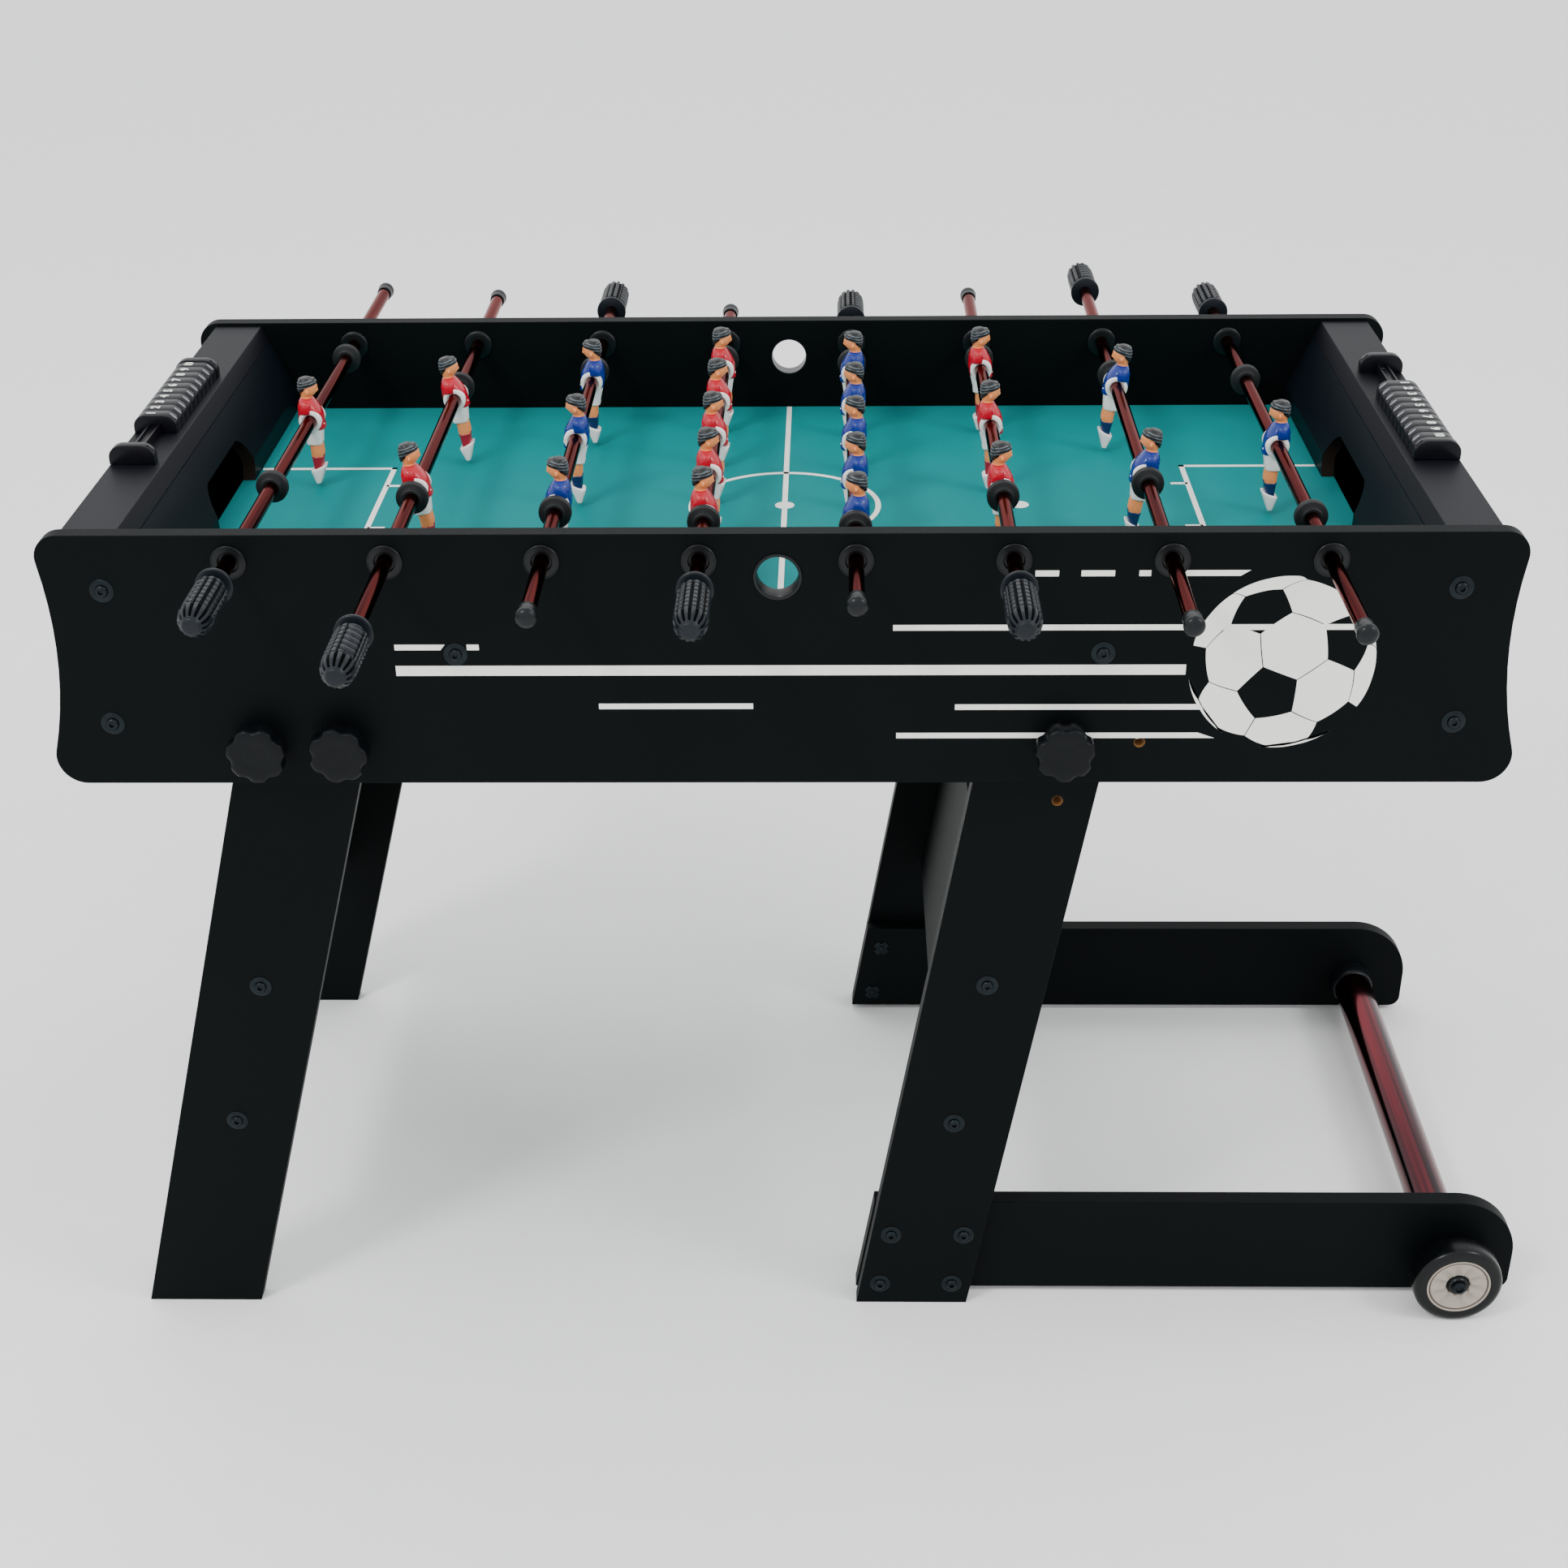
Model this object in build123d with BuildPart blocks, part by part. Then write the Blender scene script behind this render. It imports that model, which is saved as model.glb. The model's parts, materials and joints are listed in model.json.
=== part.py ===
"""Folding four-foot foosball table: cabinet, eight rods of players, score beads and folding legs.

Lengths are millimetres, +X runs along the playfield, +Y across it and +Z up from the floor.
The pieces are laid out from the middle of the playfield, and each is written with the origin
moved to the middle of the whole table's footprint on the floor.
"""
from build123d import *
from math import atan, cos, radians, sin, tan
import os

os.makedirs("parts", exist_ok=True)

# ---------------------------------------------------------------- cabinet
CABINET_WIDTH = 605.0
SIDE_T = 16.0
SIDE_ABOVE_RODS = 23.0
SIDE_BELOW_FIELD = 134.0
SIDE_TOP_BEYOND = 50.5
SIDE_WAIST_BEYOND = 41.5
SIDE_BASE_BEYOND = 69.0
SIDE_TOP_R = 20.0
SIDE_BASE_R = 24.0
EDGE_R = 0.8

FIELD_Z = 716.0
FIELD_T = 6.0
FIELD_BEYOND_RODS = 65.0
SUPPORT_T = 18.0
SUPPORT_WIDTH = 60.0
SUPPORT_X = 266.7

GOAL_WALL_T = 12.0
GOAL_FOOT_HEIGHT = 19.0
GOAL_WALL_SLOPE = 0.4224
GOAL_WIDTH = 144.0
GOAL_BELLY = 5.0
GOAL_TOP_WIDTH = 116.0
GOAL_HEIGHT = 44.0

TOP_BOARD_DROP = 3.0
TOP_BOARD_T = 16.0
TOP_BOARD_OVERHANG = 28.0
BALL_DROP_WIDTH = 46.5
END_PANEL_T = 16.0
END_PANEL_BELOW_FIELD = 96.0
CORNER_BLOCK_X = 15.0
CORNER_BLOCK_Y = 28.0
CORNER_BLOCK_Z = 34.0

TRAY_T = 6.0
TRAY_DEPTH = 60.0
RETURN_WIDTH = 120.0
RETURN_HEIGHT = 46.0
RETURN_R = 14.0

# ---------------------------------------------------------------- ball entry
ENTRY_BELOW_TOP = 36.5
ENTRY_BORE_R = 17.2
ENTRY_BARREL_R = 18.4
ENTRY_FLANGE_R = 20.0
ENTRY_FLANGE_T = 1.5

# ---------------------------------------------------------------- rods
ROD_COUNT = 8
ROD_PITCH = 127.0
ROD_R = 6.35
ROD_BORE_R = 4.7
ROD_INTO_GRIP = 56.0
PLAYERS_ON_ROD = (1, 2, 3, 5, 5, 3, 2, 1)
TEAM_OF_ROD = ("red", "red", "blue", "red", "blue", "red", "blue", "blue")
ROD_SHIFT = (58.0, -3.0, 3.0, 9.0, -5.0, 38.0, 26.0, -22.0)
ROD_KICK = (0.0, 7.0, 0.0, 0.0, 0.0, 0.0, 7.0, 0.0)
PLAYER_SPACING = {1: 0.0, 2: 245.0, 3: 168.0, 5: 99.8}
BUMPER_SPACING = {1: 368.0, 2: 304.0, 3: 388.0, 5: 446.0}

BEARING_BARREL_R = 9.5
BEARING_FLANGE_R = 14.5
BEARING_FLANGE_T = 2.0
BEARING_NUT_T = 3.0
BEARING_RECESS_R = 8.4
BEARING_RECESS = 3.0

BUMPER_R = 14.0
BUMPER_T = 8.0
BUMPER_HUB_R = 9.0
BUMPER_LENGTH = 14.0

GRIP_LENGTH = 84.0
GRIP_R = 14.0
GRIP_NECK_R = 8.5
GRIP_COLLAR_R = 15.2
GRIP_COLLAR_T = 3.5
GRIP_RESERVE = 14.0
CAP_R = 8.5
CAP_LENGTH = 20.0
CAP_RESERVE = 40.0

# ---------------------------------------------------------------- players
FOOT_REACH = 62.5
FOOT_CLEAR = 3.5
HEAD_TOP = 38.5
HEAD_HALF_WIDTH = 7.5
CHEST_HALF_WIDTH = 12.5
HIP_HALF_WIDTH = 10.0
LEG_HALF_WIDTH = 8.0
SHOE_HALF_WIDTH = 9.5

# ---------------------------------------------------------------- score counters
SCORER_LENGTH = 254.0
SCORER_BRACKET_T = 11.0
SCORER_HALF_WIDTH = 20.0
SCORER_HEIGHT = 17.0
SCORER_SHOULDER = 6.0
SCORER_TOP_HALF_WIDTH = 8.0
BEAD_COUNT = 10
BEAD_LENGTH = 16.0
BEAD_INSET = 0.8
BAR_WIDTH = 10.0
BAR_HEIGHT = 9.0

# ---------------------------------------------------------------- folding legs
LEG_T = 18.0
LEG_WIDTH = 106.5
LEFT_FOOT_X = -576.0
LEFT_LEAN = 15.45
RIGHT_FOOT_X = 122.7
RIGHT_LEAN = 9.5
LEG_ABOVE_PIVOT = 35.0
LEFT_TOP_R = 36.0
LEG_TOP_R = 10.0
LEFT_PIVOT_X = -438.0
LEFT_LOCK_REACH = 69.0
RIGHT_PIVOT_X = 238.0
PIVOT_ABOVE_BASE = 38.0
FOLD_HOLE_REACH = 64.0
FOLD_HOLE_R = 4.6

CROSS_PANEL_T = 16.0
CROSS_PANEL_HEIGHT = 214.0
CROSS_PANEL_Z = 292.5
CROSS_BOLT_SPACING = 154.5

BEAM_T = 18.0
BEAM_BOTTOM_Z = 6.0
BEAM_TOP_Z = 110.0
BEAM_BEYOND_WHEEL = 61.0
BEAM_TOP_R = 61.0
BEAM_BOTTOM_R = 12.0
BEAM_PROUD = 1.5
FOOT_BOLT_LOW_Z = 24.0
FOOT_BOLT_HIGH_Z = 84.0
FOOT_BOLT_SPACING = 70.0

WHEEL_X = 648.0
WHEEL_R = 42.5
WHEEL_WIDTH = 28.0
WHEEL_STANDOFF = 16.0
TYRE_DEPTH = 10.0
HUB_BOSS_R = 12.0
AXLE_R = 4.0
AXLE_HEAD_R = 7.0
AXLE_HEAD_T = 4.0
AXLE_GRIP = 14.0
TUBE_R = 20.5
TUBE_WALL = 1.5
CUP_R = 23.5
CUP_LENGTH = 22.0
CUP_FLOOR = 8.0

# ---------------------------------------------------------------- knobs and fasteners
KNOB_R = 25.0
KNOB_LOBES = 7
KNOB_SCALLOP_R = 8.0
KNOB_SCALLOP_REACH = 30.0
KNOB_T = 17.0
KNOB_PROUD = 28.0
KNOB_NECK_R = 9.5
STEM_R = 4.0
STEM_TAIL = 6.0
NUT_FLANGE_R = 9.0
NUT_FLANGE_T = 1.5

BOLT_R = 3.0
BOLT_HEAD_R = 5.5
BOLT_HEAD_T = 3.0
WASHER_R = 10.0
WASHER_T = 1.2
BOLT_BITE = 30.0
UPPER_BOLT_INSIDE = 4.6
UPPER_BOLT_BELOW_TOP = 47.2
LOWER_BOLT_OUTSIDE = 5.4
LOWER_BOLT_ABOVE_BASE = 56.6

# ---------------------------------------------------------------- clearances
RUNNING = 0.06
BOLT_CLEAR = 0.2
SEAT = 0.05
GLIDE = 0.4
STOP = 0.5
BEAD_GAP = 0.2

# ---------------------------------------------------------------- worked out from the above
HALF_WIDTH = CABINET_WIDTH / 2
INNER_HALF = HALF_WIDTH - SIDE_T
ROD_Z = FIELD_Z + FOOT_CLEAR + FOOT_REACH
SIDE_TOP_Z = ROD_Z + SIDE_ABOVE_RODS
SIDE_BOTTOM_Z = FIELD_Z - SIDE_BELOW_FIELD
SIDE_HEIGHT = SIDE_TOP_Z - SIDE_BOTTOM_Z
FIELD_LENGTH = (ROD_COUNT - 1) * ROD_PITCH + 2 * FIELD_BEYOND_RODS
END_PANEL_X = FIELD_LENGTH / 2 + BALL_DROP_WIDTH
END_PANEL_BOTTOM_Z = FIELD_Z - END_PANEL_BELOW_FIELD
TOP_BOARD_Z = SIDE_TOP_Z - TOP_BOARD_DROP
TOP_BOARD_OUTER_X = END_PANEL_X + TOP_BOARD_OVERHANG
SCORER_X = TOP_BOARD_OUTER_X - SCORER_HALF_WIDTH
TRAY_FLOOR_Z = FIELD_Z - TRAY_DEPTH
ENTRY_Z = SIDE_TOP_Z - ENTRY_BELOW_TOP
PIVOT_Z = SIDE_BOTTOM_Z + PIVOT_ABOVE_BASE
LEG_TOP_Z = PIVOT_Z + LEG_ABOVE_PIVOT
LEFT_LOCK_X = LEFT_PIVOT_X + LEFT_LOCK_REACH
BEAM_END_X = WHEEL_X + BEAM_BEYOND_WHEEL
UPPER_BOLT_X = END_PANEL_X - UPPER_BOLT_INSIDE
UPPER_BOLT_Z = SIDE_TOP_Z - UPPER_BOLT_BELOW_TOP
LOWER_BOLT_X = END_PANEL_X + LOWER_BOLT_OUTSIDE
LOWER_BOLT_Z = SIDE_BOTTOM_Z + LOWER_BOLT_ABOVE_BASE
LEG_OUT = INNER_HALF - GLIDE
LEG_IN = LEG_OUT - LEG_T
BEAM_IN = LEG_IN - BEAM_T
FIELD_HALF = FIELD_LENGTH / 2
TOP_BOARD_BOTTOM_Z = TOP_BOARD_Z - TOP_BOARD_T
SUPPORT_Z = FIELD_Z - FIELD_T - SUPPORT_T / 2
WHEEL_Z = WHEEL_R
WHEEL_OUT = LEG_IN + WHEEL_STANDOFF + WHEEL_WIDTH
BUMPER_FACE = INNER_HALF - BEARING_NUT_T - SEAT
SIDES = (-1, 1)


def rod_x(number):
    """X of rod 1 to 8, spaced evenly about the middle of the field."""
    return (number - (ROD_COUNT + 1) / 2) * ROD_PITCH


def half_travel(count):
    """How far a rod with this many players slides each way before its bumper meets the wall."""
    return BUMPER_FACE - STOP - BUMPER_SPACING[count] / 2 - BUMPER_LENGTH / 2


def handle_side(number):
    """-1 where the rod's handle is at the front, for the red team, and +1 at the back."""
    return -1 if TEAM_OF_ROD[number - 1] == "red" else 1


def collar_offset(count):
    """Distance from a centred rod's middle to the inner face of its handle's collar."""
    return HALF_WIDTH + half_travel(count) + GRIP_RESERVE


def cap_offset(count):
    """Distance from a centred rod's middle to the outer face of its end cap."""
    return HALF_WIDTH + half_travel(count) + CAP_RESERVE


def leg_axis_x(foot_x, lean, z):
    """X of a leg's centre line at height z."""
    return foot_x + z * tan(radians(lean))


def leg_edge_x(foot_x, lean, z, side):
    """X of a leg's edge at height z, on the low or the high X side."""
    return leg_axis_x(foot_x, lean, z) + side * LEG_WIDTH / 2 / cos(radians(lean))


def handle_end(number, side):
    """Y of the rod's outermost point on one side: its handle or its end cap."""
    count = PLAYERS_ON_ROD[number - 1]
    reach = cap_offset(count)
    if side == handle_side(number):
        reach = collar_offset(count) + GRIP_LENGTH
    return ROD_SHIFT[number - 1] + side * reach


ROD_NUMBERS = range(1, ROD_COUNT + 1)
LOW_X = leg_edge_x(LEFT_FOOT_X, LEFT_LEAN, 0, -1)
HIGH_X = max(BEAM_END_X, END_PANEL_X + SIDE_BASE_BEYOND)
LOW_Y = min(handle_end(number, -1) for number in ROD_NUMBERS)
HIGH_Y = max(handle_end(number, 1) for number in ROD_NUMBERS)
FOOTPRINT_MIDDLE = Location((-(LOW_X + HIGH_X) / 2, -(LOW_Y + HIGH_Y) / 2, 0))


def save(piece, name):
    """Write one finished piece in the table's own frame."""
    piece.part = piece.part.moved(FOOTPRINT_MIDDLE)
    piece.part.label = name
    export_step(piece.part, f"parts/{name}.step")


def across(x, y, z, outward):
    """Plane through a line along Y, with its u along that line outwards and its v upwards."""
    return Plane(origin=(x, y, z), x_dir=(0, outward, 0), z_dir=(outward, 0, 0))


def turned(points, x, y, z, outward, mode=Mode.ADD):
    """Add a solid turned about a line along Y from (distance outwards, radius) points."""
    with BuildSketch(across(x, y, z, outward)) as profile:
        with BuildLine():
            Polyline(*points, close=True)
        make_face()
    revolve(profile.sketch, axis=Axis((x, y, z), (0, 1, 0)), mode=mode)


def facing(y):
    """The XZ plane at this Y, facing the front, so sketches on it keep X and Z as they are."""
    return Plane(origin=(0, y, 0), x_dir=(1, 0, 0), z_dir=(0, -1, 0))


def bolt(x, z, face_y, outward, grip):
    """A button-head bolt on its washer, seated on a face at face_y and reaching inwards."""
    turned(((0, BOLT_R + SEAT), (WASHER_T, BOLT_R + SEAT), (WASHER_T, WASHER_R - WASHER_T), (0, WASHER_R)),
           x, face_y, z, outward)
    head = WASHER_T + SEAT
    dome = BOLT_HEAD_R * 0.7
    turned(((-grip, 0), (head + BOLT_HEAD_T, 0), (head + BOLT_HEAD_T, dome), (head + BOLT_HEAD_T / 2, BOLT_HEAD_R),
            (head, BOLT_HEAD_R), (head, BOLT_R), (-grip, BOLT_R)), x, face_y, z, outward)


def cross_bolts(foot_x, lean):
    """The two bolt places on a leg's centre line that hold its cross panel."""
    step = CROSS_BOLT_SPACING / 2
    places = []
    for side in SIDES:
        z = CROSS_PANEL_Z + side * step * cos(radians(lean))
        places.append((leg_axis_x(foot_x, lean, z), z))
    return places


def foot_bolts():
    """The four bolt places at the bottom of a right leg that hold its foot beam."""
    places = []
    for z in (FOOT_BOLT_LOW_Z, FOOT_BOLT_HIGH_Z):
        for side in SIDES:
            places.append((leg_axis_x(RIGHT_FOOT_X, RIGHT_LEAN, z) + side * FOOT_BOLT_SPACING / 2, z))
    return places


CORNER_BOLTS = [(side * UPPER_BOLT_X, UPPER_BOLT_Z) for side in SIDES]
CORNER_BOLTS += [(side * LOWER_BOLT_X, LOWER_BOLT_Z) for side in SIDES]
SUPPORT_BOLTS = [(side * SUPPORT_X, SUPPORT_Z) for side in SIDES]
CABINET_BOLTS = CORNER_BOLTS + SUPPORT_BOLTS
KNOB_PLACES = {"left_pivot": LEFT_PIVOT_X, "left_lock": LEFT_LOCK_X, "right_pivot": RIGHT_PIVOT_X}
FOLD_HOLE_PANEL = (RIGHT_PIVOT_X + FOLD_HOLE_REACH, PIVOT_Z)
FOLD_HOLE_LEG = (RIGHT_PIVOT_X, PIVOT_Z - FOLD_HOLE_REACH)


# ================================================================ side panels
def side_panel(side):
    """A side board with a waisted outline at both ends, drilled for rods, balls, bolts and knobs."""
    with BuildPart() as panel:
        with BuildSketch(facing(side * HALF_WIDTH if side > 0 else -INNER_HALF)) as outline:
            top = END_PANEL_X + SIDE_TOP_BEYOND
            base = END_PANEL_X + SIDE_BASE_BEYOND
            waist = END_PANEL_X + SIDE_WAIST_BEYOND
            waist_z = SIDE_BOTTOM_Z + SIDE_HEIGHT * 0.63
            with BuildLine():
                Line((-base, SIDE_BOTTOM_Z), (base, SIDE_BOTTOM_Z))
                ThreePointArc((base, SIDE_BOTTOM_Z), (waist, waist_z), (top, SIDE_TOP_Z))
                Line((top, SIDE_TOP_Z), (-top, SIDE_TOP_Z))
                ThreePointArc((-top, SIDE_TOP_Z), (-waist, waist_z), (-base, SIDE_BOTTOM_Z))
            make_face()
            fillet(outline.vertices().group_by(Axis.Y)[-1], radius=SIDE_TOP_R)
            fillet(outline.vertices().group_by(Axis.Y)[0], radius=SIDE_BASE_R)
        extrude(amount=SIDE_T)
        fillet(panel.edges().filter_by(Plane.XZ), radius=EDGE_R)
        with BuildSketch(facing(side * HALF_WIDTH if side > 0 else -INNER_HALF)):
            with Locations(*[(rod_x(number), ROD_Z) for number in ROD_NUMBERS]):
                Circle(BEARING_BARREL_R + SEAT)
            with Locations((0, ENTRY_Z)):
                Circle(ENTRY_BARREL_R + SEAT)
            with Locations(*CABINET_BOLTS):
                Circle(BOLT_R + BOLT_CLEAR)
            with Locations(*[(x, PIVOT_Z) for x in KNOB_PLACES.values()]):
                Circle(STEM_R + RUNNING)
            with Locations(FOLD_HOLE_PANEL):
                Circle(FOLD_HOLE_R)
        extrude(amount=SIDE_T, mode=Mode.SUBTRACT)
    return panel


for name, side in (("side_panel_front", -1), ("side_panel_back", 1)):
    save(side_panel(side), name)


# ================================================================ ends of the cabinet
def wall_x(z):
    """X of the goal wall's playing face at height z, upright at its foot and leaning above it."""
    return FIELD_HALF + max(0.0, z - FIELD_Z - GOAL_FOOT_HEIGHT) * GOAL_WALL_SLOPE


WALL_LEAN = atan(GOAL_WALL_SLOPE)
WALL_RUN = GOAL_WALL_T / cos(WALL_LEAN)
KINK_Z = FIELD_Z + GOAL_FOOT_HEIGHT
OUTER_KINK_Z = KINK_Z - GOAL_WALL_T * tan(WALL_LEAN / 2)
FIELD_END = FIELD_HALF + GOAL_WALL_T

with BuildPart() as goal_walls:
    with BuildSketch(facing(INNER_HALF)) as wall:
        with BuildLine():
            Polyline(
                (FIELD_HALF, FIELD_Z),
                (FIELD_HALF, KINK_Z),
                (wall_x(TOP_BOARD_BOTTOM_Z), TOP_BOARD_BOTTOM_Z),
                (wall_x(TOP_BOARD_BOTTOM_Z) + WALL_RUN, TOP_BOARD_BOTTOM_Z),
                (FIELD_END, OUTER_KINK_Z),
                (FIELD_END, FIELD_Z),
                close=True,
            )
        make_face()
        mirror(about=Plane.YZ)
    extrude(amount=2 * INNER_HALF)
    with BuildSketch(Plane.YZ.offset(-END_PANEL_X)):
        with BuildLine():
            Line((-GOAL_WIDTH / 2, FIELD_Z), (GOAL_WIDTH / 2, FIELD_Z))
            ThreePointArc(
                (GOAL_WIDTH / 2, FIELD_Z),
                (GOAL_WIDTH / 2 + GOAL_BELLY, FIELD_Z + GOAL_HEIGHT * 0.57),
                (GOAL_TOP_WIDTH / 2, FIELD_Z + GOAL_HEIGHT),
            )
            Line((GOAL_TOP_WIDTH / 2, FIELD_Z + GOAL_HEIGHT), (-GOAL_TOP_WIDTH / 2, FIELD_Z + GOAL_HEIGHT))
            ThreePointArc(
                (-GOAL_TOP_WIDTH / 2, FIELD_Z + GOAL_HEIGHT),
                (-GOAL_WIDTH / 2 - GOAL_BELLY, FIELD_Z + GOAL_HEIGHT * 0.57),
                (-GOAL_WIDTH / 2, FIELD_Z),
            )
        make_face()
    extrude(amount=2 * END_PANEL_X, mode=Mode.SUBTRACT)
save(goal_walls, "goal_walls")

with BuildPart() as end_top_boards:
    with BuildSketch(facing(INNER_HALF)):
        with BuildLine():
            Polyline(
                (wall_x(TOP_BOARD_BOTTOM_Z), TOP_BOARD_BOTTOM_Z),
                (wall_x(TOP_BOARD_Z), TOP_BOARD_Z),
                (TOP_BOARD_OUTER_X, TOP_BOARD_Z),
                (TOP_BOARD_OUTER_X, TOP_BOARD_BOTTOM_Z),
                close=True,
            )
        make_face()
        mirror(about=Plane.YZ)
    extrude(amount=2 * INNER_HALF)
    fillet(end_top_boards.edges().filter_by(Axis.Y), radius=EDGE_R)
save(end_top_boards, "end_top_boards")

with BuildPart() as end_panels:
    height = TOP_BOARD_BOTTOM_Z - END_PANEL_BOTTOM_Z
    with BuildSketch(Plane.XY.offset(END_PANEL_BOTTOM_Z)):
        for side in SIDES:
            with Locations((side * (END_PANEL_X + END_PANEL_T / 2), 0)):
                Rectangle(END_PANEL_T, 2 * INNER_HALF)
    extrude(amount=height)
    with BuildSketch(Plane.YZ.offset(-END_PANEL_X - END_PANEL_T)):
        with Locations((0, TRAY_FLOOR_Z + RETURN_HEIGHT / 2)):
            RectangleRounded(RETURN_WIDTH, RETURN_HEIGHT, RETURN_R)
    extrude(amount=2 * (END_PANEL_X + END_PANEL_T), mode=Mode.SUBTRACT)
    with BuildSketch(facing(INNER_HALF)):
        with Locations(*[(side * LOWER_BOLT_X, LOWER_BOLT_Z) for side in SIDES]):
            Circle(BOLT_R + SEAT)
    extrude(amount=2 * INNER_HALF, mode=Mode.SUBTRACT)
save(end_panels, "end_panels")

with BuildPart() as ball_trays:
    floor_bottom = TRAY_FLOOR_Z - TRAY_T
    tray_inner = FIELD_HALF + TRAY_T
    with BuildSketch(facing(INNER_HALF)):
        with BuildLine():
            Polyline(
                (END_PANEL_X, floor_bottom),
                (END_PANEL_X, TRAY_FLOOR_Z),
                (tray_inner, TRAY_FLOOR_Z),
                (tray_inner, FIELD_Z - FIELD_T),
                (tray_inner - TRAY_T, FIELD_Z - FIELD_T),
                (tray_inner - TRAY_T, floor_bottom),
                close=True,
            )
        make_face()
        mirror(about=Plane.YZ)
    extrude(amount=2 * INNER_HALF)
save(ball_trays, "ball_trays")


# ================================================================ playfield and what holds it
with BuildPart() as playfield:
    with BuildSketch(Plane.XY.offset(FIELD_Z - FIELD_T)):
        Rectangle(2 * FIELD_END, 2 * INNER_HALF)
    extrude(amount=FIELD_T)
save(playfield, "playfield")

with BuildPart() as inner_cleats:
    with BuildSketch(Plane.XY.offset(FIELD_Z - FIELD_T)):
        with Locations(*[(side * SUPPORT_X, 0) for side in SIDES]):
            Rectangle(SUPPORT_WIDTH, 2 * INNER_HALF)
    extrude(amount=-SUPPORT_T)
    with BuildSketch(Plane.XY.offset(UPPER_BOLT_Z - CORNER_BLOCK_Z / 2)):
        for side_x in SIDES:
            for side_y in SIDES:
                block_x = side_x * (END_PANEL_X - CORNER_BLOCK_X / 2)
                with Locations((block_x, side_y * (INNER_HALF - CORNER_BLOCK_Y / 2))):
                    Rectangle(CORNER_BLOCK_X, CORNER_BLOCK_Y)
    extrude(amount=CORNER_BLOCK_Z)
    for side in SIDES:
        with BuildSketch(facing(side * INNER_HALF)):
            with Locations(*SUPPORT_BOLTS, *[(side_x * UPPER_BOLT_X, UPPER_BOLT_Z) for side_x in SIDES]):
                Circle(BOLT_R + SEAT)
        extrude(amount=side * (BOLT_BITE + BOLT_R), mode=Mode.SUBTRACT)
save(inner_cleats, "inner_cleats")

with BuildPart() as cabinet_bolts:
    for side in SIDES:
        for x, z in CABINET_BOLTS:
            bite = CORNER_BLOCK_Y - BOLT_R if z == UPPER_BOLT_Z else BOLT_BITE
            bolt(x, z, side * HALF_WIDTH, side, SIDE_T + bite)
save(cabinet_bolts, "cabinet_bolts")


# ================================================================ bearings and ball entries
with BuildPart() as rod_bearings:
    for number in ROD_NUMBERS:
        for side in SIDES:
            bore = ROD_R + RUNNING
            inside = -SIDE_T - BEARING_NUT_T
            turned(
                (
                    (inside, bore),
                    (BEARING_FLANGE_T - BEARING_RECESS, bore),
                    (BEARING_FLANGE_T - BEARING_RECESS, BEARING_RECESS_R),
                    (BEARING_FLANGE_T, BEARING_RECESS_R),
                    (BEARING_FLANGE_T, BEARING_FLANGE_R - BEARING_FLANGE_T / 2),
                    (BEARING_FLANGE_T / 2, BEARING_FLANGE_R),
                    (0, BEARING_FLANGE_R),
                    (0, BEARING_BARREL_R),
                    (inside, BEARING_BARREL_R),
                ),
                rod_x(number), side * HALF_WIDTH, ROD_Z, side,
            )
            turned(
                (
                    (0, BEARING_BARREL_R + SEAT),
                    (-BEARING_NUT_T, BEARING_BARREL_R + SEAT),
                    (-BEARING_NUT_T, BEARING_FLANGE_R - BEARING_NUT_T / 3),
                    (-BEARING_NUT_T * 2 / 3, BEARING_FLANGE_R),
                    (0, BEARING_FLANGE_R),
                ),
                rod_x(number), side * INNER_HALF, ROD_Z, side,
            )
save(rod_bearings, "rod_bearings")

with BuildPart() as ball_entry_rings:
    for side in SIDES:
        turned(
            (
                (-SIDE_T - ENTRY_FLANGE_T / 2, ENTRY_BORE_R),
                (ENTRY_FLANGE_T, ENTRY_BORE_R),
                (ENTRY_FLANGE_T, ENTRY_FLANGE_R - ENTRY_FLANGE_T / 2),
                (0, ENTRY_FLANGE_R),
                (0, ENTRY_BARREL_R),
                (-SIDE_T - ENTRY_FLANGE_T / 2, ENTRY_BARREL_R),
            ),
            0, side * HALF_WIDTH, ENTRY_Z, side,
        )
save(ball_entry_rings, "ball_entry_rings")


# ================================================================ score counters
def counter_section(plane, inset):
    """Section of the counters' end blocks, or of a bead that lies inset from it all round."""
    half = SCORER_HALF_WIDTH - inset
    top = SCORER_HEIGHT - inset
    bottom = GLIDE if inset > 0 else 0.0
    with BuildSketch(plane) as section:
        with BuildLine():
            Polyline((-half, SCORER_SHOULDER), (-half, bottom), (half, bottom), (half, SCORER_SHOULDER))
            for side in SIDES:
                ThreePointArc(
                    (side * half, SCORER_SHOULDER),
                    (side * (half - 4.5), SCORER_SHOULDER + (top - SCORER_SHOULDER) * 0.68),
                    (side * SCORER_TOP_HALF_WIDTH, top),
                )
            Line((-SCORER_TOP_HALF_WIDTH, top), (SCORER_TOP_HALF_WIDTH, top))
        make_face()
        if inset > 0:
            with Locations((0, (BAR_HEIGHT + GLIDE) / 2)):
                Rectangle(BAR_WIDTH + 2 * GLIDE, BAR_HEIGHT + GLIDE, mode=Mode.SUBTRACT)
    return section.sketch


def on_top_board(side, y):
    """Upright plane across a top board at this Y, with its origin on the counter's centre line."""
    return Plane(origin=(side * SCORER_X, y, TOP_BOARD_Z), x_dir=(1, 0, 0), z_dir=(0, -1, 0))


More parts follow.
